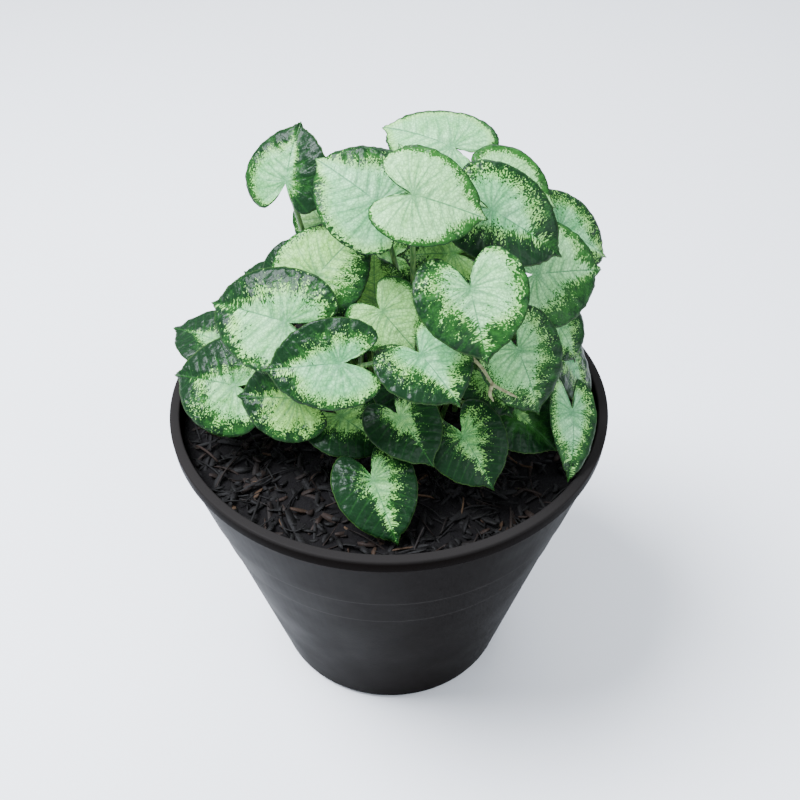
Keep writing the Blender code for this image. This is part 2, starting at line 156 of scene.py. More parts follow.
# Each leaf as in the part: the place of its heart (x, y, z), the bearing and
# the tilt that its face looks to, the turn of its tip from straight downhill,
# its length from heart to tip, and its width. Then its look: how yellow its
# pale part is, how deep its green, which also darkens its pale part as painted
# shade, the share of the blade that is green at the tip, on the near side, in
# the near lobe, in the far lobe and on the far side, going round against the
# clock, and how far the green frays inwards
LEAVES = (
    ((26, 26, 270, 12, 70, -130, 32, 0.92), (0.1, 0.6, 0.06, 0.05, 0.06, 0.14, 0.08, 0.12)),
    ((15, 5, 262, -10, 36, -144, 22, 0.95), (0.4, 0.4, 0.25, 0.14, 0.2, 0.28, 0.18, 0.3)),
    ((44, 14, 257, 15, 52, 66, 26, 1.0), (0.3, 0.3, 0.2, 0.16, 0.22, 0.08, 0.08, 0.18)),
    ((72, 14, 239, 44, 50, 42, 28, 0.9), (0, 0.8, 0.4, 0.3, 0.3, 0.42, 0.36, 0.55)),
    ((-40, 6, 266, -24, 34, 184, 24, 1.05), (0.1, 0.7, 0.62, 0.22, 0.12, 0.66, 0.84, 0.26)),
    ((-27, 14, 241, -20, 45, -130, 19, 0.9), (0.5, 0.4, 0.14, 0.14, 0.12, 0.12, 0.16, 0.3)),
    ((-44, 7, 222, -35, 42, 172, 18, 0.9), (0.7, 0.8, 0.8, 0.75, 0.75, 0.75, 0.8, 0.4)),
    ((-49, 14, 211, -30, 72, -95, 20, 0.9), (0.3, 0.8, 0.9, 0.9, 0.9, 0.9, 0.9, 0.2)),
    ((2, 12, 226, 0, 50, -80, 22, 1.0), (0.5, 0.9, 0.65, 0.6, 0.55, 0.55, 0.65, 0.4)),
    ((27, -2, 237, 0, 60, -92, 22, 1.0), (0.6, 0.7, 0.5, 0.25, 0.15, 0.15, 0.4, 0.4)),
    ((-5, -18, 225, -10, 40, -170, 20, 1.0), (0.7, 0.5, 0.25, 0.25, 0.32, 0.32, 0.25, 0.4)),
    ((-4, -9, 263, 4, 50, -132, 31, 0.95), (0, 0.65, 0.2, 0.09, 0.07, 0.34, 0.32, 0.34)),
    ((40, -13, 264, 12, 46, 54, 34, 0.8), (0, 0.8, 0.66, 0.32, 0.2, 0.36, 0.64, 0.42)),
    ((10, -22, 276, 0, 48, 74, 29, 0.9), (0.3, 0.15, 0.34, 0.13, 0.05, 0.06, 0.12, 0.24)),
    ((60, -6, 229, 14, 45, 88, 31, 1.05), (0.2, 0.4, 0.4, 0.1, 0.06, 0.1, 0.42, 0.3)),
    ((77, 18, 190, 60, 45, 36, 22, 0.9), (0.3, 0.8, 0.65, 0.55, 0.55, 0.5, 0.6, 0.5)),
    ((71, -8, 207, 35, 42, 15, 21, 0.9), (0.2, 0.7, 0.48, 0.5, 0.4, 0.2, 0.25, 0.4)),
    ((-28, -18, 237, -8, 46, 144, 28, 0.95), (0.6, 0.5, 0.16, 0.08, 0.08, 0.4, 0.5, 0.45)),
    ((-75, 2, 188, -20, 72, -98, 27, 0.8), (0.3, 0.85, 0.8, 0.66, 0.6, 0.74, 0.8, 0.3)),
    ((-38, -28, 218, -15, 52, -98, 36, 0.85), (0.15, 0.75, 0.64, 0.16, 0.07, 0.26, 0.46, 0.4)),
    ((-2, -32, 230, 0, 40, 41, 20, 1.1), (0.55, 0.3, 0.14, 0.14, 0.12, 0.14, 0.18, 0.3)),
    ((31, -42, 248, 3, 50, 11, 29, 1.05), (0.15, 0.45, 0.66, 0.2, 0.1, 0.34, 0.56, 0.5)),
    ((52, -36, 214, 22, 35, 12, 30, 0.85), (0.2, 0.6, 0.62, 0.5, 0.3, 0.1, 0.16, 0.42)),
    ((80, -4, 182, 62, 32, 2, 27, 0.7), (0, 0.85, 0.7, 0.6, 0.5, 0.5, 0.7, 0.6)),
    ((-65, -20, 180, -15, 52, -92, 31, 1.0), (0.25, 0.75, 0.85, 0.34, 0.22, 0.5, 0.74, 0.42)),
    ((-38, -36, 188, -12, 45, -85, 27, 0.95), (0.7, 0.75, 0.7, 0.3, 0.24, 0.3, 0.62, 0.42)),
    ((-20, -38, 180, -5, 62, 60, 25, 0.95), (0.6, 0.8, 0.76, 0.56, 0.26, 0.26, 0.7, 0.34)),
    ((7, -34, 194, 0, 35, -4, 21, 0.9), (0.5, 0.9, 0.9, 0.85, 0.85, 0.9, 0.9, 0.25)),
    ((13, -47, 213, 0, 74, 36, 25, 1.1), (0, 0.85, 0.52, 0.22, 0.14, 0.3, 0.56, 0.36)),
    ((-17, -46, 214, -8, 45, -80, 31, 0.8), (0, 0.85, 0.64, 0.18, 0.12, 0.3, 0.58, 0.36)),
    ((42, -30, 194, 10, 50, 25, 19, 1.0), (0.55, 0.7, 0.7, 0.46, 0.3, 0.5, 0.66, 0.4)),
    ((54, -34, 179, 12, 58, 38, 24, 0.95), (0.6, 0.35, 0.96, 0.92, 0.92, 0.96, 0.96, 0.1)),
    ((73.2, -33.8, 176.8, 45, 44, -30, 29, 0.58), (0, 0.6, 0.62, 0.46, 0.3, 0.12, 0.2, 0.42)),
    ((5, -42, 174, 0, 66, 35, 24, 0.9), (0.5, 0.9, 0.85, 0.75, 0.55, 0.6, 0.8, 0.32)),
    ((31, -52, 182, 2, 56, 28, 25, 0.95), (0.4, 0.95, 0.7, 0.68, 0.46, 0.8, 0.9, 0.46)),
    ((-6, -66, 171, -3, 58, 24, 28, 0.85), (0.35, 0.85, 0.6, 0.58, 0.42, 0.8, 0.88, 0.42)),
)

# Leaves at the back of the clump, in rows: height of the hearts, distance
# from the clump's middle, how many, and how far they spread to each side
BACK_ROWS = (
    (174, 60, 5, 76),
    (198, 60, 5, 66),
    (220, 50, 3, 46),
    (240, 34, 2, 40),
)
BACK_LENGTH = 27
BACK_SEED = 7
BACK_TILT = 22
BACK_TILT_RISE = 0.45

# How far a leaf of a row strays from its even place in it: its share of the
# row, its distance, height, tilt, turn, length and bearing, least and most
BACK_STRAYS = ((0.35, 0.65), (0.9, 1.05), (-5, 5), (-8, 8), (-45, 45), (0.85, 1.15), (-12, 12))

# Spans that those leaves draw their looks from
BACK_LOOK = ((0, 0.6), (0.3, 0.9), (0.35, 0.6), (0.2, 0.5), (0.1, 0.4), (0.1, 0.4), (0.2, 0.55))
BACK_FRAY = (0.25, 0.5)

# Stations round the edge of the places that a leaf's look names, and the
# green share at the notch between the lobes
LOOK_STATIONS = (0, 3.5, 6.8, 9, 11.2, 14.5, 18)
NOTCH_GREEN = 0.02

# Fineness and thickness of the fine blades, the crinkle and the nicks of their
# edges, with how soon both fade inwards, and the span of the noise's seeds
EDGE_POINTS = 144
BLADE_RINGS = 16
SHEET_THICK = 0.5
CRINKLE = 0.6
CRINKLE_GRAIN = 3.6
CRINKLE_POWER = 4
NICK = 0.022
NICK_FINENESS = 2
NICK_POWER = 8
SEED_SPAN = 60

# How far a fine leaf's box may be from its solid's in millimetres
LEAF_FIT = 3

# What each point of a blade knows: its distance from the heart to the edge,
# its leaf's share of green there, fray, yellow and depth of green, which also
# sets the painted shade of the pale part, and a seed
BLADE_LOOKS = ("out", "reach", "fray", "tone", "deep", "seed")

# Side of the blade's map and step between side veins in lengths of the leaf,
# slant of the veins at the midrib and how it grows outwards, fan of the lobes'
# veins, and how far the pale part runs along the midrib
BLADE_MAP = 2.2
VEIN_STEP = 0.17
VEIN_SLANT = 0.5
VEIN_BEND = 0.4
LOBE_FAN = 0.5
SPINE_PALE = 0.3

# Strokes along the side veins: how many lie side by side and end to end in a
# leaf's length, and their detail; and how far apart a blade's halves read them
STROKES = ((5.0, 3.0, 2.0), (17.0, 8.0, 2.0), (52.0, 40.0, 1.0), (60.0, 9.0, 2.0))
HALVES_APART = 20.0

# Added to weighed noise, which is 0.5 on the whole: the first brings the
# green's edge back to its place, the second its tone back to the middle
EDGE_MIDDLE = -3.55
GREEN_MIDDLE = -1.6

# Width in millimetres of what each pattern draws: dents and the net of fine
# veins in a leaf, streaks of a stalk, nine to 10 mm and drawn out along it,
# and of the sheath, film of dust and moulded grain on the pot, crumbs of
# soil, fibres of bark
LEAF_DENT = 4
LEAF_NET = 1.5
STALK_STREAK = (1 / 0.9, 1 / 0.9, 25)
SHEATH_STREAK = 1.6
DUST_FILM = 26
POT_GRAIN = 1.1
SOIL_CRUMB = 2.4
BARK_FIBRE = 0.9

# How far red, green and blue light spreads in a leaf, in metres
LEAF_GLOW = (0.0012, 0.0016, 0.0006)

# Stalks: their corners are rounded over this share of the shorter side, and
# their radius tapers from the foot
BEND_SHARE = 0.42
BEND_STEPS = 5
STALK_FINENESS = 2
STALK_TAPER = 0.3
STALK_FOOT = 1.1

# Pot and soil
POT_SIDES = 160
LIP_ARC = 4
LIP_FILLET = 0.5
# Half height of the band round each ledge that holds a painted highlight
LEDGE_HIGHLIGHT_BAND = 0.7
SHARP_ANGLE = math.radians(38)
SOIL_SIDES = 120
SOIL_RINGS = 34
CRUMB_BUMP = 1.0
CRUMB_FINENESS = 3.5

# Bark chips and husk shreds: the setting that counts them, the least and most
# length, width and thickness, cuts along, curl, least and most height over
# the soil, how far their ends tip up, and how seldom one is dry and pale
BARK = {
    "bark_chips": ("chips", ((3, 13), (0.9, 3.2), (0.4, 1.1)), 2, 0.3, (-0.3, 1.2), 0.45, 2.6),
    "husk_shreds": ("shreds", ((8, 26), (0.35, 0.9), (0.35, 0.9)), 5, 0.9, (0.2, 2.0), 0.3, 2.0),
}
CHIP_COUNT = 1500
SHRED_COUNT = 420
SCATTER_SEED = 11
SHAPE_COUNT = 14
BARK_MARGIN = 2

# Size and roll of a piece of bark, how much it narrows and thins to its ends,
# how ragged it is along, across and through, and where and how far it bends
BARK_SIZES = (0.7, 1.25)
BARK_ROLL = 0.6
BARK_NARROW = 0.45
BARK_THIN = 0.4
BARK_RAGGED = (0.12, 0.3, 0.4)
BARK_MIDDLE = 0.4
BARK_BEND = 0.3
NOISE_SPAN = 99

# Dried sheath on one leaf's stalk: the leaf, its two strands, and its radius
SHEATH_LEAF = 22
SHEATH_STRANDS = (
    ((31, -44, 219), (37, -48, 215), (41, -51.5, 209), (47, -53, 206.5), (51, -52, 203)),
    ((41, -51.5, 209), (40, -52, 205), (42, -51, 200)),
)
SHEATH_RADIUS = 0.75
SHEATH_END_RADIUS = 0.25

# Camera and lamps: place in metres, width in metres, power in watts
CAMERA_PLACE = (0.005, -0.346, 0.465)
CAMERA_DOWN = 41.86
CAMERA_SENSOR = 36
LAMP_AIM = (0, 0, 0.16)
LAMPS = (
    ("key_lamp", (-0.65, -0.05, 1.35), 0.8, 72),
    ("fill_lamp", (0.9, -0.7, 0.9), 1.0, 9),
    ("back_lamp", (0.2, 1.0, 1.2), 1.0, 9),
)
SKY_STRENGTH = 1.05

# Colours as they look on a screen
PALE_MINT = "#97D49A"
# Darker mint of the pale part's patches, also its painted shade
COOL_MINT_AND_SHADE = "#63AC6C"
LIME = "#90C44C"
FRESH_GREEN = "#295D22"
DEEP_GREEN = "#0F2913"
VEIN_GREY = "#2C6440"
VEIN_GREEN = "#21501C"
EDGE_DARK = "#15301A"
EDGE_PALE = "#385325"
UNDERSIDE = "#62824E"
STALK_GREEN = "#38602A"
STALK_LIGHT = "#70924E"
SHEATH_TAN = "#8C9068"
SHEATH_BROWN = "#585030"
# Black of the pot, tinted warm as a painted reflection of a brown mat
POT_BLACK_WITH_WARM_REFLECTION = "#080504"
# Grey of dust on the pot, also its painted highlight on the lip and the ledges
POT_DUST_AND_HIGHLIGHT = "#232120"
EARTH = "#070506"
BARK_DARK = "#090706"
BARK_BROWN = "#241811"
BARK_TAN = "#483625"
FLOOR_WHITE = "#FDFDFE"
SKY_WHITE = "#E6EFFA"
LAMP_WHITE = "#EEF4FF"

# Settings that many nodes share
SMOOTH = {"interpolation_type": "SMOOTHSTEP"}
BLEND = {"data_type": "RGBA"}
SHADE = {"data_type": "RGBA", "blend_type": "MULTIPLY"}
TIMES = {"operation": "MULTIPLY"}
TIMES_PLUS = {"operation": "MULTIPLY_ADD"}


def leaf_axes(bearing, tilt, turn):
    """Turning of a leaf: +X to its tip, +Z the way its face looks."""
    b, t, w = (math.radians(angle) for angle in (bearing, tilt, turn))
    downhill = Vector((math.sin(b) * math.sin(t), -math.cos(b) * math.sin(t), -math.cos(t)))
    across = Vector((math.cos(b), math.sin(b), 0))
    face = Vector((math.sin(b) * math.cos(t), -math.cos(b) * math.cos(t), math.sin(t)))
    tip = downhill * math.cos(w) + across * math.sin(w)
    return Matrix((tip, face.cross(tip), face)).transposed()


def edge_point(station):
    """Point of the blade's edge at a station, counted from the tip."""
    half = len(HALF_EDGE) - 1
    side = 1 if station <= half else -1
    along = min(station, 2 * half - station)
    low = min(int(along), half - 1)
    part = along - low

    def knot(i):
        turn, reach = HALF_EDGE[i]
        return Vector((math.cos(math.radians(turn)), math.sin(math.radians(turn)))) * reach

    b, c = knot(low), knot(low + 1)
    a = knot(low - 1) if low > 0 else b * 2 - c
    d = knot(low + 2) if low + 2 <= half else c * 2 - b
    point = (
        b * 2
        + (c - a) * part
        + (a * 2 - b * 5 + c * 4 - d) * part**2
        + (b * 3 - a - c * 3 + d) * part**3
    ) / 2
    return Vector((point.x, point.y * side))


class Leaf:
    """One leaf: a heart-shaped blade on a stalk."""

    def __init__(self, index, row, look):
        x, y, z, bearing, tilt, turn, self.length, self.width = row
        self.name = f"leaf_{index:02d}"
        self.heart = Vector((x, y, z))
        self.axes = leaf_axes(bearing, tilt, turn)
        self.face = self.axes.col[2].copy()
        self.tip = self.axes.col[0].copy()
        draw = random.Random(index)
        self.fold, self.arch, self.droop, self.sag, self.wave = (
            draw.uniform(*span) for span in (FOLD, ARCH, DROOP, SAG, WAVE)
        )
        self.waves = draw.choice(WAVE_COUNTS)
        self.phase = draw.uniform(0, 2 * math.pi)
        self.look = look
        self.route = []

    def point(self, station, out):
        """Point of the blade at a station round the edge, out from 0 to 1."""
        edge = edge_point(station) * out
        u, v = edge.x, edge.y * self.width
        lift = (
            self.fold * (math.hypot(v, FOLD_ROUND) - FOLD_ROUND)
            - self.arch * v * v
            - (self.droop if u > 0 else self.sag) * u * u
            + self.wave * out**3 * math.sin(self.waves * math.tau * station / STATIONS + self.phase)
        )
        return self.heart + self.axes @ (Vector((u, v, lift)) * self.length)


def back_leaves():
    """Rows of leaves round the back of the clump, facing out and up."""
    draw = random.Random(BACK_SEED)
    rows = []
    for height, reach, count, spread in BACK_ROWS:
        tilt = BACK_TILT + (height - BACK_ROWS[0][0]) * BACK_TILT_RISE
        for i in range(count):
            strays = [draw.uniform(*span) for span in BACK_STRAYS]
            share, far, lift, lean, turn, size, swing = strays
            bearing = 180 + spread * (2 * (i + share) / count - 1)
            x = CROWN_MIDDLE[0] + reach * far * math.sin(math.radians(bearing))
            y = CROWN_MIDDLE[1] - reach * far * math.cos(math.radians(bearing))
            place = (x, y, height + lift, bearing + swing, tilt + lean, turn)
            rows.append((*place, BACK_LENGTH * size, 1.0))
    return rows


def back_looks(count):
    """Looks for the leaves at the back, as mixed as those in front."""
    draw = random.Random(BACK_SEED + 1)
    spans = (*BACK_LOOK, BACK_FRAY)
    return [tuple(draw.uniform(*span) for span in spans) for _ in range(count)]


def blade_sheet(leaf):
    """Points and triangles of a coarse blade: a disc laid on the leaf's form."""
    bm = bmesh.new()
    bmesh.ops.create_circle(bm, cap_ends=True, segments=STATIONS, radius=1)
    inset = (1 - MID_RING) * math.cos(math.pi / STATIONS)
    bmesh.ops.inset_individual(bm, faces=bm.faces[:], thickness=inset, use_even_offset=True)
    bmesh.ops.poke(bm, faces=[face for face in bm.faces if len(face.verts) > 4])
    bmesh.ops.triangulate(bm, faces=bm.faces[:])
    bm.verts.index_update()
    points = []
    for vert in bm.verts:
        turn = math.atan2(vert.co.y, vert.co.x) - math.pi / 2
        station = round(turn * STATIONS / math.tau) % STATIONS
        points.append(leaf.point(station, min(vert.co.length, 1)))
    tris = [[vert.index for vert in face.verts] for face in bm.faces]
    bm.free()
    return points, tris


def blade_tree(sheets):
    """Search tree of several coarse blades."""
    points, faces = [], []
    for sheet, tris in sheets:
        first = len(points)
        points += sheet
        faces += [[first + i for i in tri] for tri in tris]
    return BVHTree.FromPolygons(points, faces)


def neck(leaf):
    """Points along the first stretch of a leaf's stalk, under its heart."""
    return [leaf.heart - (leaf.face + leaf.tip * NECK_LEAN) * reach for reach in NECK_REACH]


def spread_leaves(leaves):
    """Move each leaf out along its face until it clears those before it."""
    laid, necks = [], []
    for leaf in leaves:
        sheet, tris = blade_sheet(leaf)
        if laid:
            tree = blade_tree(laid)
            for _ in range(CLEAR_STEPS):
                if is_clear(sheet, tris, neck(leaf), tree, necks):
                    break
                shift = leaf.face * CLEAR_STEP
                sheet = [point + shift for point in sheet]
                leaf.heart += shift
        laid.append((sheet, tris))
        necks += neck(leaf)


def is_clear(sheet, tris, own_neck, tree, necks):
    """Whether a blade and its neck keep clear of the leaves laid before."""
    own = BVHTree.FromPolygons(sheet, tris)
    if own.overlap(tree):
        return False
    middles = [(sheet[a] + sheet[b] + sheet[c]) / 3 for a, b, c in tris]
    if any(tree.find_nearest(point, CLEAR_GAP)[0] for point in sheet + middles):
        return False
    if any(tree.find_nearest(point, NECK_GAP)[0] for point in own_neck):
        return False
    return not any(own.find_nearest(point, NECK_GAP)[0] for point in necks)


def crown_spots(count):
    """Places on the soil where stalks rise, packed like seeds in a head."""
    turn = math.pi * (3 - math.sqrt(5))
    spots = []
    for i in range(count):
        away = CROWN_SPACING * math.sqrt(i + 0.5)
        x = CROWN_MIDDLE[0] + away * math.cos(i * turn)
        y = CROWN_MIDDLE[1] + away * math.sin(i * turn)
        spots.append(Vector((x, y, SOIL_TOP)))
    return spots


def stalk_route(leaf, spot, lean, sink, bow):
    """Points of a stalk from its foot in the soil to the rib of its blade."""
    foot = Vector((spot.x, spot.y, SOIL_TOP - HOLE_DEPTH + STALK_GAP))
    start = spot + Vector((0, 0, STRAIGHT_TOP))
    under = leaf.heart - leaf.face * (BLADE_THICK / 2 + STALK_RADIUS * HEART_SINK)
    rib = leaf.point(0, MID_RING) - leaf.face * (BLADE_THICK / 2 + STALK_END_RADIUS * RIB_SINK)
    span = (under - start).length
    across = Vector((0, 0, 1)).cross(under - start).normalized()
    rise = start + Vector((0, 0, span * RISE)) + across * bow
    leave = (leaf.tip * lean + leaf.face + Vector((0, 0, sink))).normalized()
    drop = under - leave * span * DROP + across * bow * TOP_BOW
    points = [foot, start]
    for i in range(1, STALK_STEPS + 1):
        t = i / STALK_STEPS
        s = 1 - t
        points.append(start * s**3 + rise * 3 * s * s * t + drop * 3 * s * t * t + under * t**3)
    points.append(rib)
    return points


def samples(route):
    """Evenly spaced points along a route, its rib under the blade left out."""
    found = []
    for a, b in zip(route[1:-2], route[2:-1]):
        count = max(1, round((b - a).length / SAMPLE_STEP))
        found += [a.lerp(b, i / count) for i in range(count)]
    return found


def route_room(leaf, route, blades, own, laid):
    """Least room in millimetres that a route leaves round its stalk."""
    path = samples(route)
    room = LOOK_REACH
    for point in path:
        for tree in (blades, own) if (point - leaf.heart).length > OWN_REACH else (blades,):
            near = tree.find_nearest(point, LOOK_REACH)
            if near[0] is not None:
                room = min(room, near[3] - STALK_RADIUS - BLADE_THICK / 2)
        if room < 0:
            return room
    for point in path:
        for other in laid:
            room = min(room, (point - other).length - 2 * STALK_RADIUS)
    return room


def lay_stalks(leaves):
    """Give each leaf a root spot and a stalk clear of blades and stalks.

    The highest and lowest leaves choose first, as they have the least choice.
    """
    sheets = {leaf: blade_sheet(leaf) for leaf in leaves}
    spots = crown_spots(len(leaves))
    middle = Vector((*CROWN_MIDDLE, SOIL_TOP))
    laid = []
    for leaf in sorted(leaves, key=lambda one: -abs(one.heart.z - FREEST_HEIGHT)):
        blades = blade_tree(sheets[other] for other in leaves if other is not leaf)
        own = blade_tree([sheets[leaf]])
        aim = middle + (leaf.heart - middle) * CROWN_PULL
        aim.z = SOIL_TOP
        best = None
        near = sorted(spots, key=lambda one: (one - aim).length)[:NEAR_SPOTS]
        for spot, (lean, sink), bow in itertools.product(near, LEAVINGS, BOWS):
            route = stalk_route(leaf, spot, lean, sink, bow)
            room = route_room(leaf, route, blades, own, laid)
            if best is None or room > best[0]:
                best = (room, spot, route)
            if room > ENOUGH_ROOM:
                break
        leaf.route = best[2]
        spots.remove(best[1])
        laid += samples(leaf.route)


def linear(hex_colour):
    """Linear colour of an sRGB hex value."""
    channels = [int(hex_colour[i : i + 2], 16) / 255 for i in (1, 3, 5)]
    made = [c / 12.92 if c <= 0.04045 else ((c + 0.055) / 1.055) ** 2.4 for c in channels]
    return (*made, 1)


def feed(tree, made, inputs):
    """Set or link inputs of a node, each by its name or number."""
    for key, value in inputs.items():
        if isinstance(value, bpy.types.NodeSocket):
            tree.links.new(value, made.inputs[key])
        else:
            made.inputs[key].default_value = value


def add(tree, kind, inputs, out=0, **settings):
    """Add a shader node with its settings and links, and give back one output."""
    made = tree.nodes.new("ShaderNode" + kind)
    for name, value in settings.items():
        setattr(made, name, value)
    feed(tree, made, inputs)
    return made.outputs[out]


def new_material(name, colour, roughness, ior=1.45, specular=0.5):
    """Material with one principled shader.

    Gives the material, a call that adds a node to it, a call that feeds its
    shader, and its object coordinates.
    """
    made = bpy.data.materials.new(name)
    made.use_nodes = True
    made.diffuse_color = linear(colour)
    tree = made.node_tree
    node = functools.partial(add, tree)
    finish = functools.partial(feed, tree, tree.nodes["Principled BSDF"])
    finish({"Base Color": linear(colour), "Roughness": roughness})
    finish({"IOR": ior, "Specular IOR Level": specular})
    return made, node, finish, node("TexCoord", {}, "Object")


def leaf_skin(settings):
    """Waxy leaf skin, pale where it holds no green, with veins off the midrib.

    Skin over living cells gives a soft broad gloss. The map named blade is
    the flat blade with its heart in the middle, in lengths of the leaf.
    Strokes and veins leave the midrib at a slant towards the tip, and fan
    out from the heart in the two lobes, as the real side veins do.
    """
    pale, lime, fresh, deep_green = (
        (*colour, 1) for colour in (settings.pale, settings.lime, settings.fresh, settings.deep)
    )
    made, node, finish, skin = new_material("waxy_leaf_skin", PALE_MINT, 0.36, specular=0.13)
    blade = node("UVMap", {}, uv_map="blade")
    middle = node("VectorMath", {0: blade, 1: (0.5, 0.5, 0)}, operation="SUBTRACT")
    place = node("VectorMath", {0: middle, "Scale": BLADE_MAP}, operation="SCALE")
    away = node("VectorMath", {0: place}, "Value", operation="LENGTH")
    along = node("SeparateXYZ", {0: place})
    across = along.node.outputs["Y"]
    side = node("Math", {0: across}, operation="ABSOLUTE")
    half = node("Math", {0: across}, operation="SIGN")
    out, reach, fray, tone, deep, seed = (
        node("Attribute", {}, "Fac", attribute_name=name) for name in BLADE_LOOKS
    )

    # Which side vein a point lies on: where on the midrib that vein starts,
    # or in the lobes, below 0, how far it is turned past the last of those
    slant = node("Math", {0: side, 1: VEIN_BEND, 2: VEIN_SLANT}, **TIMES_PLUS)
    back = node("Math", {0: slant, 1: side}, **TIMES)
    start = node("Math", {0: along, 1: back}, operation="SUBTRACT")
    ahead = node("Math", {0: start, 1: 0.0}, operation="MAXIMUM")
    turn = node("Math", {0: side, 1: along}, operation="ARCTAN2")
    last = node("Math", {0: 1.0, 1: slant}, operation="ARCTAN2")
    turned = node("Math", {0: last, 1: turn}, operation="SUBTRACT")
    behind = node("Math", {0: turned, 1: 0.0}, operation="MINIMUM")
    vein = node("Math", {0: behind, 1: LOBE_FAN, 2: ahead}, **TIMES_PLUS)

    def strokes(across_veins, along_veins, detail):
        """Noise drawn out along the side veins; its counts in a leaf's length."""
        wide = node("Math", {0: vein, 1: across_veins}, **TIMES)
        wide = node("Math", {0: half, 1: HALVES_APART, 2: wide}, **TIMES_PLUS)
        long = node("Math", {0: away, 1: along_veins}, **TIMES)
        spot = node("CombineXYZ", {0: wide, 1: long, 2: seed})
        return node("TexNoise", {"Vector": spot, "Scale": 1.0, "Detail": detail})

    broad, brush, dabs, fine = (strokes(*counts) for counts in STROKES)
    dents = node("TexNoise", {"Vector": skin, "Scale": 1 / (LEAF_DENT * MM), "Detail": 1.0})
    cells = {"Vector": skin, "Scale": 1 / (LEAF_NET * MM), "Randomness": 1.0}
    cells = node("TexVoronoi", cells, feature="DISTANCE_TO_EDGE")

    # How far a point lies inside the green, roughened by strokes and dabs;
    # the pale part runs on along the midrib towards the tip
    edge = node("Math", {0: 1.0, 1: reach}, operation="SUBTRACT")
    past = node("Math", {0: out, 1: edge}, operation="SUBTRACT")
    front = node("MapRange", {"Value": along, "From Max": 0.15})
    spine = {"Value": side, "From Max": 0.2, "To Min": 1.0, "To Max": 0.0}
    spine = node("MapRange", spine, **SMOOTH)
    spine = node("Math", {0: spine, 1: front}, **TIMES)
    past = node("Math", {0: spine, 1: -SPINE_PALE, 2: past}, **TIMES_PLUS)
    rough = EDGE_MIDDLE
    for field, weight in ((brush, 1.7), (dabs, 3.4), (broad, 2.0)):
        rough = node("Math", {0: field, 1: weight, 2: rough}, **TIMES_PLUS)
    ragged = node("Math", {0: reach, 1: 2.2, 2: 0.2}, **TIMES_PLUS, use_clamp=True)
    ragged = node("Math", {0: ragged, 1: fray}, **TIMES)
    inside = node("Math", {0: rough, 1: ragged, 2: past}, **TIMES_PLUS)
    green = node("MapRange", {"Value": inside, "From Min": -0.02, "From Max": 0.035}, **SMOOTH)

    # Pale part: yellower by the green and at the rim, in soft mint patches,
    # and darker and cooler all over by the leaf's depth of green, as painted
    # shade on the leaves that sit in shade
    near = {"Value": past, "From Min": -0.25, "From Max": 0.12, "To Max": 0.62}
    near = node("MapRange", near, **SMOOTH)
    band = {"Value": out, "From Min": 0.8, "From Max": 0.97, "To Max": 0.45}
    band = node("MapRange", band, **SMOOTH)
    yellow = node("Math", {0: near, 1: tone}, operation="MAXIMUM")
    yellow = node("Math", {0: yellow, 1: band}, operation="MAXIMUM")
    patch_and_shade = {"Value": broad, "From Min": 0.35, "From Max": 0.65, "To Min": -0.35, "To Max": 0.35}
    patch_and_shade = node("MapRange", patch_and_shade)
    patch_and_shade = node("Math", {0: spine, 1: -SPINE_PALE, 2: patch_and_shade}, **TIMES_PLUS)
    # Painted shade: the leaf's depth of green darkens and cools its whole pale part
    patch_and_shade = node("Math", {0: deep, 1: patch_and_shade}, operation="ADD", use_clamp=True)
    light = node("Mix", {0: patch_and_shade, 6: pale, 7: linear(COOL_MINT_AND_SHADE)}, 2, **BLEND)
    light = node("Mix", {0: yellow, 6: light, 7: lime}, 2, **BLEND)
    grain = {"Value": fine, "From Min": 0.3, "From Max": 0.7, "To Min": 0.74, "To Max": 1.2}
    net = {"Value": cells, "From Max": 0.2, "To Min": 0.66, "To Max": 1.04}
    for span in (grain, net):
        shade = node("MapRange", span)
        light = node("Mix", {0: 1.0, 6: light, 7: shade}, 2, **SHADE)

    # Green part: fresher in dabs and by the pale, deeper towards the rim
    rich = GREEN_MIDDLE
    for field, weight in ((dabs, 1.2), (dents, 1.6), (past, 1.4)):
        rich = node("Math", {0: field, 1: weight, 2: rich}, **TIMES_PLUS)
    rich = node("Math", {0: rich, 1: deep}, operation="ADD", use_clamp=True)
    dark = node("Mix", {0: rich, 6: fresh, 7: deep_green}, 2, **BLEND)
    colour = node("Mix", {0: green, 6: light, 7: dark}, 2, **BLEND)

    # Veins: the midrib, and side veins that fade towards the edge
    apart = node("Math", {0: vein, 1: VEIN_STEP / 2}, operation="PINGPONG")
    thin = node("Math", {0: away, 1: 1.25}, **TIMES, use_clamp=True)
    apart = node("Math", {0: apart, 1: thin}, **TIMES)
    ribs = {"Value": apart, "From Max": 0.016, "To Min": 0.8, "To Max": 0.0}
    ribs = node("MapRange", ribs, **SMOOTH)
    fade = node("MapRange", {"Value": out, "To Min": 1.0, "To Max": 0.25})
    ribs = node("Math", {0: ribs, 1: fade}, **TIMES)
    midrib = {"Value": side, "From Max": 0.018, "To Min": 1.0, "To Max": 0.0}
    midrib = node("MapRange", midrib, **SMOOTH)
    midrib = node("Math", {0: midrib, 1: front}, **TIMES)
    ribs = node("Math", {0: ribs, 1: midrib}, operation="MAXIMUM")
    ribbed = node("Mix", {0: green, 6: linear(VEIN_GREY), 7: linear(VEIN_GREEN)}, 2, **BLEND)
    drawn = node("Math", {0: ribs, 1: 0.8}, **TIMES)
    colour = node("Mix", {0: drawn, 6: colour, 7: ribbed}, 2, **BLEND)

    # Thin line along the very edge, dark on pale leaves and paler on green ones
    rim = {"Value": out, "From Min": 0.974, "From Max": 0.988, "To Max": 0.8}
    rim = node("MapRange", rim, **SMOOTH)
    lined = node("Mix", {0: reach, 6: linear(EDGE_DARK), 7: linear(EDGE_PALE)}, 2, **BLEND)
    colour = node("Mix", {0: rim, 6: colour, 7: lined}, 2, **BLEND)

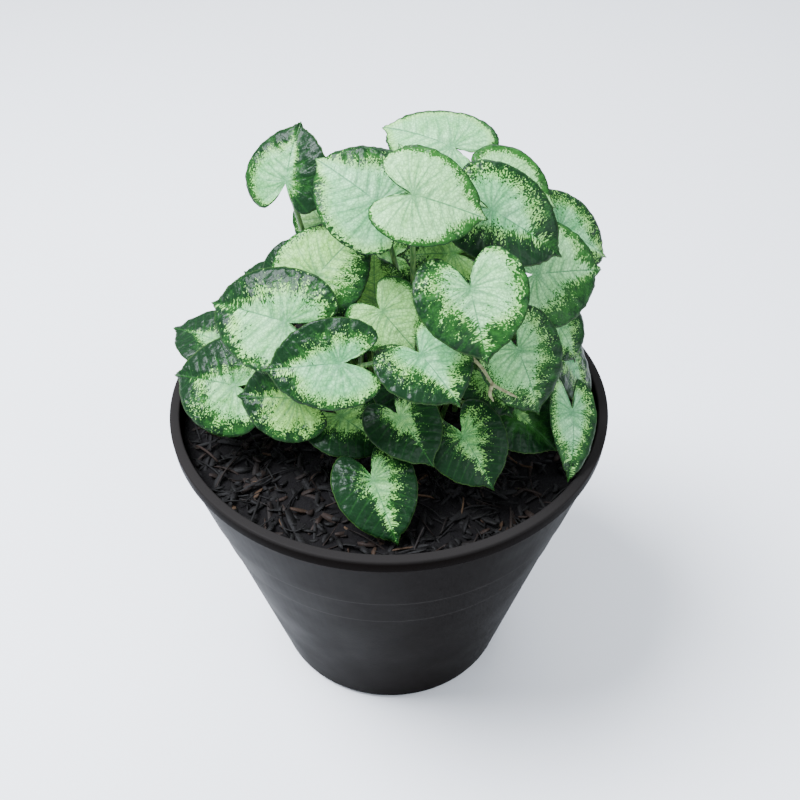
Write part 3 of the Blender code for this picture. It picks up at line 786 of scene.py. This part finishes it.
    # Glossier where green; the skin swells between the side veins
    gloss = node("MapRange", {"Value": green, "To Min": 0.4, "To Max": 0.3})
    swell = node("MapRange", {"Value": apart, "From Max": VEIN_STEP / 2, "To Max": 0.35}, **SMOOTH)
    for field, weight in ((dents, 3.6), (cells, 0.5), (ribs, -0.35)):
        swell = node("Math", {0: field, 1: weight, 2: swell}, **TIMES_PLUS)
    bump = node("Bump", {"Height": swell, "Strength": 0.6, "Distance": 0.5 * MM})
    finish({"Base Color": colour, "Roughness": gloss, "Normal": bump})
    finish({"Subsurface Weight": 0.1, "Subsurface Radius": LEAF_GLOW})
    return made


def leaf_back():
    """Underside of a leaf: no wax, so duller and greyer than the face."""
    made, node, finish, place = new_material("matt_leaf_underside", UNDERSIDE, 0.55)
    mottle = node("TexNoise", {"Vector": place, "Scale": 1 / (LEAF_DENT * MM), "Detail": 3.0})
    reach = node("Attribute", {}, "Fac", attribute_name="reach")
    base = node("Mix", {0: reach, 6: linear(UNDERSIDE), 7: linear(FRESH_GREEN)}, 2, **BLEND)
    shade = node("MapRange", {"Value": mottle, "To Min": 0.75, "To Max": 1.2})
    colour = node("Mix", {0: 1.0, 6: base, 7: shade}, 2, **SHADE)
    bump = node("Bump", {"Height": mottle, "Strength": 0.3, "Distance": 0.4 * MM})
    finish({"Base Color": colour, "Normal": bump})
    return made


def stalk_skin():
    """Juicy stalk skin: smooth, with paler streaks 1 mm wide and 25 mm long."""
    made, node, finish, place = new_material("juicy_stalk_skin", STALK_GREEN, 0.4)
    drawn = {"Vector": place, "Scale": [1 / (width * MM) for width in STALK_STREAK]}
    drawn = node("Mapping", drawn)
    streak = node("TexNoise", {"Vector": drawn, "Scale": 1.0, "Detail": 2.0})
    light = node("MapRange", {"Value": streak, "From Min": 0.45, "From Max": 0.75})
    colour = node("Mix", {0: light, 6: linear(STALK_GREEN), 7: linear(STALK_LIGHT)}, 2, **BLEND)
    finish({"Base Color": colour})
    return made


def dried_sheath():
    """Dried leaf sheath: papery and matt, tan with brown streaks."""
    made, node, finish, place = new_material("dried_leaf_sheath", SHEATH_TAN, 0.75)
    streak = node("TexNoise", {"Vector": place, "Scale": 1 / (SHEATH_STREAK * MM), "Detail": 3.0})
    worn = node("MapRange", {"Value": streak, "From Min": 0.4, "From Max": 0.75})
    colour = node("Mix", {0: worn, 6: linear(SHEATH_TAN), 7: linear(SHEATH_BROWN)}, 2, **BLEND)
    bump = node("Bump", {"Height": streak, "Strength": 0.5, "Distance": 0.4 * MM})
    finish({"Base Color": colour, "Normal": bump})
    return made


def pot_plastic(settings):
    """Moulded polypropylene: black with a warm tint that is a painted reflection, and half glossy,
    dulled where dust lies; the paler grey on the lip's top and along the two ledges is a painted
    highlight.
    """
    made, node, finish, place = new_material("moulded_polypropylene", POT_BLACK_WITH_WARM_REFLECTION, 0.36, 1.49, 0.006)
    dust = node("TexNoise", {"Vector": place, "Scale": 1 / (DUST_FILM * MM), "Detail": 6.0})
    dust_and_highlight = node("MapRange", {"Value": dust, "From Min": 0.45, "From Max": 0.9, "To Max": 0.1})
    # The lip's top and a band round each ledge take the pale grey too, as a painted highlight
    height = node("SeparateXYZ", {0: place}, "Z")
    low = (POT_HEIGHT - 2 * LIP_ROUND) * MM
    lip = node("MapRange", {"Value": height, "From Min": low, "From Max": POT_HEIGHT * MM})
    dust_and_highlight = node("Math", {0: dust_and_highlight, 1: lip}, operation="MAXIMUM")
    for step in STEP_HEIGHTS:
        ledge_highlight = node("Math", {0: height, 1: step * MM, 2: LEDGE_HIGHLIGHT_BAND * MM}, operation="COMPARE")
        dust_and_highlight = node("Math", {0: dust_and_highlight, 1: ledge_highlight}, operation="MAXIMUM")
    colour = node("Mix", {0: dust_and_highlight, 6: (*settings.colour, 1), 7: linear(POT_DUST_AND_HIGHLIGHT)}, 2, **BLEND)
    dull = node("MapRange", {"Value": dust, "To Min": 0.26, "To Max": 0.5})
    skin = node("TexNoise", {"Vector": place, "Scale": 1 / (POT_GRAIN * MM), "Detail": 2.0})
    bump = node("Bump", {"Height": skin, "Strength": 0.12, "Distance": 0.2 * MM})
    finish({"Base Color": colour, "Roughness": dull, "Normal": bump})
    return made


def damp_soil():
    """Damp fines between the bark: crumbly, matt and nearly black."""
    made, node, finish, place = new_material("damp_soil_crumbs", EARTH, 0.9, specular=0.2)
    crumbs = node("TexNoise", {"Vector": place, "Scale": 1 / (SOIL_CRUMB * MM), "Detail": 5.0})
    shade = node("MapRange", {"Value": crumbs, "From Min": 0.3, "From Max": 0.8})
    colour = node("Mix", {0: shade, 6: linear(EARTH), 7: linear(BARK_DARK)}, 2, **BLEND)
    bump = node("Bump", {"Height": crumbs, "Strength": 0.9, "Distance": 1.5 * MM})
    finish({"Base Color": colour, "Normal": bump})
    return made


def composted_bark():
    """Composted bark and husk: fibrous, dark when damp, browner where dry."""
    made, node, finish, place = new_material("composted_bark", BARK_DARK, 0.7, specular=0.25)
    tint = node("Attribute", {}, "Fac", attribute_name="tint")
    dry = node("MapRange", {"Value": tint, "From Min": 0.45, "From Max": 0.95})
    colour = node("Mix", {0: dry, 6: linear(BARK_DARK), 7: linear(BARK_BROWN)}, 2, **BLEND)
    tan = node("MapRange", {"Value": tint, "From Min": 0.9, "From Max": 1.0})
    colour = node("Mix", {0: tan, 6: colour, 7: linear(BARK_TAN)}, 2, **BLEND)
    fibre = node("TexNoise", {"Vector": place, "Scale": 1 / (BARK_FIBRE * MM), "Detail": 3.0})
    shade = node("MapRange", {"Value": fibre, "To Min": 0.45, "To Max": 1.4})
    colour = node("Mix", {0: 1.0, 6: colour, 7: shade}, 2, **SHADE)
    bump = node("Bump", {"Height": fibre, "Strength": 0.6, "Distance": 0.5 * MM})
    finish({"Base Color": colour, "Normal": bump})
    return made


def floor_paint(settings):
    """Matt floor paint: pale, even, and with no gloss."""
    made, node, finish, place = new_material("matt_floor_paint", FLOOR_WHITE, 0.8)
    cloud = node("TexNoise", {"Vector": place, "Scale": 3.0, "Detail": 2.0})
    shade = node("MapRange", {"Value": cloud, "To Min": 0.97, "To Max": 1.0})
    colour = node("Mix", {0: 1.0, 6: (*settings.floor_colour, 1), 7: shade}, 2, **SHADE)
    finish({"Base Color": colour})
    return made


def new_object(name, thing):
    """Object for a mesh or a curve, linked to the scene."""
    made = bpy.data.objects.new(name, thing)
    bpy.context.scene.collection.objects.link(made)
    return made


def mesh_from(bm, name):
    """Mesh of a bmesh, which is freed."""
    mesh = bpy.data.meshes.new(name)
    bm.to_mesh(mesh)
    bm.free()
    return mesh


def piece_from(bm, name, materials, replaced=None):
    """Piece in metres from a bmesh in millimetres, riding on the frame."""
    bmesh.ops.scale(bm, vec=(MM, MM, MM), verts=bm.verts[:])
    mesh = mesh_from(bm, name)
    for each in materials:
        mesh.materials.append(each)
    mesh.polygons.foreach_set("use_smooth", [True] * len(mesh.polygons))
    piece = new_object(name, mesh)
    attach(piece, "root")
    if replaced:
        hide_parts(replaced)
    return piece


def worked_mesh(thing):
    """Mesh of an object with its modifiers worked in; the object is removed."""
    bpy.context.view_layer.update()
    graph = bpy.context.evaluated_depsgraph_get()
    mesh = bpy.data.meshes.new_from_object(thing.evaluated_get(graph))
    bpy.data.objects.remove(thing)
    return mesh


def ringed_disc(radius, sides, rings):
    """Flat disc of many faces, in rings round its middle."""
    bm = bmesh.new()
    bmesh.ops.create_circle(bm, cap_ends=True, segments=sides, radius=radius)
    step = radius / rings * math.cos(math.pi / sides)
    for _ in range(rings - 1):
        middle = [face for face in bm.faces if len(face.verts) == sides]
        bmesh.ops.inset_individual(bm, faces=middle, thickness=step, use_even_offset=True)
    bmesh.ops.poke(bm, faces=[face for face in bm.faces if len(face.verts) == sides])
    return bm


def look_reach(look, station):
    """Share of the blade that is green at a station round its edge."""
    tip, near_side, near_lobe, far_lobe, far_side = look[2:7]
    shares = (tip, near_side, near_lobe, NOTCH_GREEN, far_lobe, far_side, tip)
    marks = list(zip(LOOK_STATIONS, shares))
    for (start, low), (end, high) in zip(marks, marks[1:]):
        if station <= end:
            part = (station - start) / (end - start)
            return low + (high - low) * part * part * (3 - 2 * part)
    return tip


def fine_blade(leaf, settings):
    """Blade of many rings with its map and its look, crinkled at the edge."""
    bm = ringed_disc(1, settings.edge_points, settings.rings)
    layers = [bm.verts.layers.float.new(name) for name in BLADE_LOOKS]
    seed = random.Random(leaf.name).uniform(0, SEED_SPAN)
    flat = {}
    for vert in bm.verts:
        out = min(vert.co.length, 1)
        turn = (math.atan2(vert.co.y, vert.co.x) - math.pi / 2) % math.tau
        station = turn * STATIONS / math.tau
        spot = Vector((math.cos(turn), math.sin(turn), 0)) * leaf.length / CRINKLE_GRAIN
        spot.z = seed
        nicked = out * (1 + NICK * noise.noise(spot * NICK_FINENESS) * out**NICK_POWER)
        edge = edge_point(station) * nicked
        flat[vert] = (0.5 + edge.x / BLADE_MAP, 0.5 + edge.y * leaf.width / BLADE_MAP)
        vert.co = leaf.point(station, nicked)
        vert.co += leaf.face * CRINKLE * noise.noise(spot) * out**CRINKLE_POWER
        looks = (out, look_reach(leaf.look, station), leaf.look[7], *leaf.look[:2], seed)
        for layer, value in zip(layers, looks):
            vert[layer] = value
    blade = bm.loops.layers.uv.new("blade")
    for face in bm.faces:
        for loop in face.loops:
            loop[blade].uv = flat[loop.vert]
    bmesh.ops.recalc_face_normals(bm, faces=bm.faces[:])
    if sum(face.normal.dot(leaf.face) for face in bm.faces) < 0:
        bmesh.ops.reverse_faces(bm, faces=bm.faces[:])
    return mesh_from(bm, leaf.name)


def rounded(route):
    """Route in fine steps with its corners rounded."""
    points = [route[0]]
    for before, corner, after in zip(route, route[1:], route[2:]):
        share = BEND_SHARE * min((corner - before).length, (after - corner).length)
        start = corner + (before - corner).normalized() * share
        end = corner + (after - corner).normalized() * share
        for i in range(BEND_STEPS + 1):
            t = i / BEND_STEPS
            points.append(start.lerp(corner, t).lerp(corner.lerp(end, t), t))
    points.append(route[-1])
    return points


def fine_tube(name, route, radius, end_radius):
    """Tapered tube along a route, with its corners rounded."""
    route = rounded(route)
    curve = bpy.data.curves.new(name, "CURVE")
    curve.dimensions = "3D"
    curve.bevel_depth = radius
    curve.bevel_resolution = STALK_FINENESS
    curve.use_fill_caps = True
    spline = curve.splines.new("POLY")
    spline.points.add(len(route) - 1)
    total = sum((b - a).length for a, b in zip(route, route[1:]))
    gone = 0
    for i, place in enumerate(route):
        gone += (place - route[max(i - 1, 0)]).length
        spline.points[i].co = (*place, 1)
        spline.points[i].radius = STALK_FOOT - STALK_TAPER * gone / total
    spline.points[-1].radius = end_radius / radius
    return worked_mesh(new_object(name, curve))


def build_leaf(leaf, settings, materials):
    """Blade and stalk in one piece that takes the place of the leaf's solid."""
    sheet = new_object(leaf.name + "_sheet", fine_blade(leaf, settings))
    thick = sheet.modifiers.new("thick", "SOLIDIFY")
    thick.thickness = SHEET_THICK
    thick.offset = 0
    thick.material_offset = 1
    for each in materials[:2]:
        sheet.data.materials.append(each)
    bm = bmesh.new()
    bm.from_mesh(worked_mesh(sheet))
    before = len(bm.faces)
    stalk = leaf.name + "_stalk"
    bm.from_mesh(fine_tube(stalk, leaf.route, STALK_RADIUS, STALK_END_RADIUS))
    for face in bm.faces[before:]:
        face.material_index = 2
    piece = piece_from(bm, leaf.name + "_live", materials, leaf.name)
    low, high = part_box(leaf.name)
    for axis in range(3):
        reach = [corner[axis] for corner in piece.bound_box]
        off = max(abs(min(reach) - low[axis]), abs(max(reach) - high[axis]))
        if off > LEAF_FIT * MM:
            raise RuntimeError(f"{leaf.name} is {off / MM:.1f} mm off its solid")
    return piece


def build_sheath(leaf):
    """Dried sheath in two strands that hangs from a leaf's stalk."""
    routes = [[Vector(place) for place in strand] for strand in SHEATH_STRANDS]
    foot = min(samples(leaf.route), key=lambda point: (point - routes[0][0]).length)
    routes[0].insert(0, foot)
    bm = bmesh.new()
    for route in routes:
        bm.from_mesh(fine_tube("sheath_strand", route, SHEATH_RADIUS, SHEATH_END_RADIUS))
    return piece_from(bm, "dry_sheath", [dried_sheath()])


def wall_radius(height):
    """Outer radius of the pot's wall at a height."""
    top = POT_HEIGHT - LIP_HEIGHT
    radius = BASE_RADIUS + (RIM_RADIUS - LIP_STEP - BASE_RADIUS) * height / top
    return radius - STEP_DEPTH * sum(height < step for step in STEP_HEIGHTS)


def quarter(radius, height, size, start):
    """Quarter arc of a section, clockwise from an angle in degrees."""
    turns = [math.radians(start - 90 * i / LIP_ARC) for i in range(LIP_ARC + 1)]
    return [(radius + size * math.cos(t), height + size * math.sin(t)) for t in turns]


def pot_profile():
    """Radius and height round the shell's section, down outside and up inside."""
    low, top = POT_HEIGHT - LIP_HEIGHT, POT_HEIGHT - LIP_ROUND
    lip = RIM_RADIUS - LIP_ROUND
    points = quarter(lip, top, LIP_ROUND, 90)
    points += quarter(lip - LIP_TAPER, low + LIP_ROUND, LIP_ROUND, 0)
    points += [(wall_radius(low) + LIP_FILLET, low), (wall_radius(low), low - LIP_FILLET)]
    for step in STEP_HEIGHTS:
        points += [(wall_radius(height), height) for height in (step, step - STEP_RISE)]
    outer = wall_radius(BASE_CORNER)
    points += quarter(outer - BASE_CORNER, BASE_CORNER, BASE_CORNER, 0)
    points += [(DRAIN_RING + 2 * DRAIN_RADIUS, 0), (DRAIN_RING - 2 * DRAIN_RADIUS, 0), (0, 0)]
    inner = outer - WALL
    points += [(0, WALL), (inner - BASE_CORNER, WALL), (inner, WALL + BASE_CORNER)]
    points.append((wall_radius(low) - WALL, low))
    return points + quarter(RIM_RADIUS - LIP_WIDTH + LIP_ROUND, top, LIP_ROUND, 180)


def build_pot(settings):
    """Turned shell with its drain holes."""
    bm = bmesh.new()
    verts = [bm.verts.new((radius, 0, height)) for radius, height in pot_profile()]
    for a, b in zip(verts, verts[1:] + verts[:1]):
        if a.co.x > 0 or b.co.x > 0:
            bm.edges.new((a, b))
    turned = {"axis": (0, 0, 1), "angle": math.tau, "steps": settings.sides, "use_merge": True}
    bmesh.ops.spin(bm, geom=bm.verts[:] + bm.edges[:], **turned)
    bmesh.ops.remove_doubles(bm, verts=bm.verts[:], dist=MERGE)
    bmesh.ops.recalc_face_normals(bm, faces=bm.faces[:])
    shell = new_object("pot_shell", mesh_from(bm, "pot_shell"))
    drill = {"cap_ends": True, "segments": DRAIN_SIDES, "depth": 4 * WALL}
    holes = bmesh.new()
    for i in range(DRAIN_COUNT):
        turn = math.tau * i / DRAIN_COUNT
        place = (DRAIN_RING * math.cos(turn), DRAIN_RING * math.sin(turn), 0)
        drill["matrix"] = Matrix.Translation(place)
        bmesh.ops.create_cone(holes, radius1=DRAIN_RADIUS, radius2=DRAIN_RADIUS, **drill)
    cutter = new_object("drain_cutter", mesh_from(holes, "drain_cutter"))
    drains = shell.modifiers.new("drains", "BOOLEAN")
    drains.operation = "DIFFERENCE"
    drains.object = cutter
    bm = bmesh.new()
    bm.from_mesh(worked_mesh(shell))
    bpy.data.objects.remove(cutter)
    piece = piece_from(bm, "moulded_pot", [pot_plastic(settings)], "pot")
    piece.data.set_sharp_from_angle(angle=SHARP_ANGLE)
    return piece


def soil_height(x, y):
    """Height of the soil's relief at a place, as in the solid but finer."""
    place = Vector((x, y, 0)) / SOIL_GRAIN
    coarse = SOIL_BUMP * noise.noise(place, noise_basis="PERLIN_NEW")
    return SOIL_TOP + coarse + CRUMB_BUMP * noise.noise(place * CRUMB_FINENESS)


def build_soil():
    """Plug of soil with a crumbly top that fills the pot."""
    floor = WALL + SOIL_GAP
    top_radius = wall_radius(SOIL_TOP) - WALL - SOIL_GAP
    low_radius = wall_radius(BASE_CORNER) - WALL - BASE_CORNER - SOIL_GAP
    wide_radius = wall_radius(WALL + BASE_CORNER) - WALL - 3 * SOIL_GAP
    bm = ringed_disc(top_radius, SOIL_SIDES, SOIL_RINGS)
    for vert in bm.verts:
        vert.co.z = soil_height(vert.co.x, vert.co.y)
    walls = [edge for edge in bm.edges if edge.is_boundary]
    for radius, height in ((wide_radius, WALL + BASE_CORNER), (low_radius, floor)):
        grown = bmesh.ops.extrude_edge_only(bm, edges=walls)["geom"]
        walls = [item for item in grown if isinstance(item, bmesh.types.BMEdge)]
        walls = [edge for edge in walls if edge.is_boundary]
        for vert in {vert for edge in walls for vert in edge.verts}:
            vert.co.xy = vert.co.xy.normalized() * radius
            vert.co.z = height
    bmesh.ops.edgeloop_fill(bm, edges=walls)
    bmesh.ops.recalc_face_normals(bm, faces=bm.faces[:])
    return piece_from(bm, "potting_soil", [damp_soil()], "soil")


def bark_shapes(draw, spans, cuts, curl):
    """Meshes of a few different planks, split, bent and tapered."""
    shapes = []
    for _ in range(SHAPE_COUNT):
        bm = bmesh.new()
        bmesh.ops.create_cube(bm, size=1)
        along = [edge for edge in bm.edges if edge.verts[0].co.x != edge.verts[1].co.x]
        bmesh.ops.subdivide_edges(bm, edges=along, cuts=cuts)
        size = Vector([draw.uniform(*span) for span in spans])
        bend, twist = (draw.uniform(-curl, curl) for _ in range(2))
        shift = Vector((0, 0, draw.uniform(0, NOISE_SPAN)))
        for vert in bm.verts:
            u = vert.co.x * 2
            ragged = noise.noise_vector(vert.co * 2 + shift)
            vert.co.x += BARK_RAGGED[0] * ragged.y
            vert.co.y *= 1 - BARK_NARROW * u * u + BARK_RAGGED[1] * ragged.x
            vert.co.y += twist * u * u
            vert.co.z *= 1 - BARK_THIN * u * u + BARK_RAGGED[2] * ragged.z
            vert.co *= size
            vert.co.z += bend * size.x * (u * u - BARK_MIDDLE) * BARK_BEND
        shapes.append(mesh_from(bm, "bark_shape"))
    return shapes


def scatter(name, draw, shapes, count, lift, tip_up, dryness, bark):
    """Pieces of bark laid over the soil at random, each with its own tint."""
    reach = wall_radius(SOIL_TOP) - WALL - BARK_MARGIN
    bm = bmesh.new()
    tint = bm.verts.layers.float.new("tint")
    for _ in range(count):
        away = reach * math.sqrt(draw.random())
        turn = draw.uniform(0, math.tau)
        x, y = away * math.cos(turn), away * math.sin(turn)
        z = soil_height(x, y) + draw.uniform(*lift)
        facing = (
            Matrix.Rotation(draw.uniform(0, math.tau), 4, "Z")
            @ Matrix.Rotation(draw.uniform(-tip_up, tip_up), 4, "Y")
            @ Matrix.Rotation(draw.uniform(-BARK_ROLL, BARK_ROLL), 4, "X")
        )
        size = draw.uniform(*BARK_SIZES)
        before = len(bm.verts)
        bm.from_mesh(draw.choice(shapes))
        bm.verts.ensure_lookup_table()
        added = bm.verts[before:]
        place = Matrix.Translation((x, y, z)) @ facing @ Matrix.Scale(size, 4)
        bmesh.ops.transform(bm, matrix=place, verts=added)
        shade = draw.random() ** dryness
        for vert in added:
            flat = vert.co.xy.length
            if flat > reach:
                vert.co.xy *= reach / flat
            vert[tint] = shade
    return piece_from(bm, name, [bark])


def build_stage(settings):
    """Floor, lights and camera as in the photograph."""
    bm = bmesh.new()
    size = settings.floor_size / 2
    bmesh.ops.create_grid(bm, x_segments=1, y_segments=1, size=size)
    floor = new_object("floor", mesh_from(bm, "floor"))
    floor.data.materials.append(floor_paint(settings))
    for name, place, width, power in LAMPS:
        lamp = bpy.data.lights.new(name, "AREA")
        lamp.shape = "DISK"
        lamp.size = width
        lamp.energy = power * settings.light
        lamp.color = linear(LAMP_WHITE)[:3]
        light = new_object(name, lamp)
        light.location = place
        aim = Vector(LAMP_AIM) - Vector(place)
        light.rotation_euler = aim.to_track_quat("-Z", "Y").to_euler()
    world = bpy.data.worlds.new("studio")
    world.use_nodes = True
    sky = {"Color": linear(SKY_WHITE), "Strength": SKY_STRENGTH * settings.light}
    feed(world.node_tree, world.node_tree.nodes["Background"], sky)
    bpy.context.scene.world = world
    camera = new_object("camera", bpy.data.cameras.new("camera"))
    camera.data.sensor_width = CAMERA_SENSOR
    camera.data.lens = settings.lens
    camera.location = CAMERA_PLACE
    camera.rotation_euler = (math.radians(90 - CAMERA_DOWN), 0, 0)
    bpy.context.scene.camera = camera


def colour_setting(name, description, colour):
    """Colour that a user may change, with a hex value to start from."""
    start = linear(colour)[:3]
    picker = {"subtype": "COLOR", "size": 3, "min": 0, "max": 1}
    return FloatVectorProperty(name=name, description=description, default=start, **picker)


def count_setting(name, description, count, least, most):
    """Count that a user may change."""
    return IntProperty(name=name, description=description, default=count, min=least, max=most)


class LeafSettings(bpy.types.PropertyGroup):
    """Colours and fineness of the leaves."""

    pale: colour_setting("Pale part", "Colour of the skin where it holds no green", PALE_MINT)
    lime: colour_setting("Lime", "Colour between the pale part and the green", LIME)
    fresh: colour_setting("Fresh green", "Lighter colour of the green part", FRESH_GREEN)
    deep: colour_setting("Deep green", "Darker colour of the green part", DEEP_GREEN)
    edge_points: count_setting(
        "Edge points", "Points round the edge of one blade", EDGE_POINTS, 36, 216
    )
    rings: count_setting("Rings", "Rings from a blade's edge to its heart", BLADE_RINGS, 4, 24)


class PotSettings(bpy.types.PropertyGroup):
    """Fineness and colour of the pot."""

    sides: count_setting("Sides", "Sides of the turned shell", POT_SIDES, 36, 360)
    colour: colour_setting("Plastic", "Colour of the pot's plastic", POT_BLACK_WITH_WARM_REFLECTION)


class SoilSettings(bpy.types.PropertyGroup):
    """How much bark and husk lies on the soil."""

    chips: count_setting("Bark chips", "Short pieces of bark on the soil", CHIP_COUNT, 0, 3000)
    shreds: count_setting("Husk shreds", "Long thin pieces of husk", SHRED_COUNT, 0, 1500)


class StageSettings(bpy.types.PropertyGroup):
    """Floor, light and lens."""

    floor_size: FloatProperty(
        name="Floor",
        description="Side of the floor",
        default=6,
        min=1,
        subtype="DISTANCE",
        unit="LENGTH",
    )
    floor_colour: colour_setting("Floor colour", "Colour of the floor", FLOOR_WHITE)
    light: FloatProperty(
        name="Light",
        description="Strength of all the light",
        default=1,
        min=0,
        max=5,
        subtype="FACTOR",
    )
    lens: FloatProperty(
        name="Lens",
        description="Length of the camera's lens in millimetres",
        default=45,
        min=20,
        max=200,
    )


class PLANT_OT_pot(bpy.types.Operator):
    """Build the moulded pot."""

    bl_idname = "plant.pot"
    bl_label = "Pot"

    def execute(self, context):
        build_pot(context.scene.plant_pot)
        return {"FINISHED"}


class PLANT_OT_soil(bpy.types.Operator):
    """Build the soil that fills the pot."""

    bl_idname = "plant.soil"
    bl_label = "Soil"

    def execute(self, context):
        build_soil()
        return {"FINISHED"}


class PLANT_OT_bark(bpy.types.Operator):
    """Scatter bark chips and husk shreds on the soil."""

    bl_idname = "plant.bark"
    bl_label = "Bark and husk"

    def execute(self, context):
        settings = context.scene.plant_soil
        bark = composted_bark()
        draw = random.Random(SCATTER_SEED)
        # The vector noise starts from the clock unless it is seeded
        noise.seed_set(SCATTER_SEED)
        for name, (setting, spans, cuts, curl, *lie) in BARK.items():
            shapes = bark_shapes(draw, spans, cuts, curl)
            scatter(name, draw, shapes, getattr(settings, setting), *lie, bark)
        return {"FINISHED"}


class PLANT_OT_leaves(bpy.types.Operator):
    """Build every leaf on its stalk."""

    bl_idname = "plant.leaves"
    bl_label = "Leaves"

    def execute(self, context):
        settings = context.scene.plant_leaves
        materials = [leaf_skin(settings), leaf_back(), stalk_skin()]
        rows = [row for row, look in LEAVES] + back_leaves()
        looks = [look for row, look in LEAVES] + back_looks(len(rows) - len(LEAVES))
        leaves = [Leaf(i + 1, row, look) for i, (row, look) in enumerate(zip(rows, looks))]
        spread_leaves(leaves)
        lay_stalks(leaves)
        for leaf in leaves:
            build_leaf(leaf, settings, materials)
        build_sheath(leaves[SHEATH_LEAF - 1])
        return {"FINISHED"}


class PLANT_OT_stage(bpy.types.Operator):
    """Set up the floor, the lights and the camera."""

    bl_idname = "plant.stage"
    bl_label = "Stage"

    def execute(self, context):
        build_stage(context.scene.plant_stage)
        return {"FINISHED"}


class PLANT_PT_panel(bpy.types.Panel):
    """Settings and steps of the potted plant."""

    bl_label = "Plant"
    bl_idname = "PLANT_PT_panel"
    bl_space_type = "VIEW_3D"
    bl_region_type = "UI"
    bl_category = "Plant"

    def draw(self, context):
        for owner, steps in PANEL_ROWS:
            settings = getattr(context.scene, owner)
            for name in settings.bl_rna.properties.keys():
                if name not in ("rna_type", "name"):
                    self.layout.prop(settings, name)
            for step in steps:
                self.layout.operator(step)


GROUPS = {
    "plant_pot": PotSettings,
    "plant_soil": SoilSettings,
    "plant_leaves": LeafSettings,
    "plant_stage": StageSettings,
}
PANEL_ROWS = (
    ("plant_pot", ("plant.pot",)),
    ("plant_soil", ("plant.soil", "plant.bark")),
    ("plant_leaves", ("plant.leaves",)),
    ("plant_stage", ("plant.stage",)),
)
CLASSES = (
    *GROUPS.values(),
    PLANT_OT_pot,
    PLANT_OT_soil,
    PLANT_OT_bark,
    PLANT_OT_leaves,
    PLANT_OT_stage,
    PLANT_PT_panel,
)


def register():
    for each in CLASSES:
        bpy.utils.register_class(each)
    for name, group in GROUPS.items():
        setattr(bpy.types.Scene, name, PointerProperty(type=group))


def unregister():
    for name in GROUPS:
        delattr(bpy.types.Scene, name)
    for each in reversed(CLASSES):
        bpy.utils.unregister_class(each)


def main():
    register()
    bpy.ops.plant.pot()
    bpy.ops.plant.soil()
    bpy.ops.plant.bark()
    bpy.ops.plant.leaves()
    bpy.ops.plant.stage()


if __name__ == "__main__":
    main()
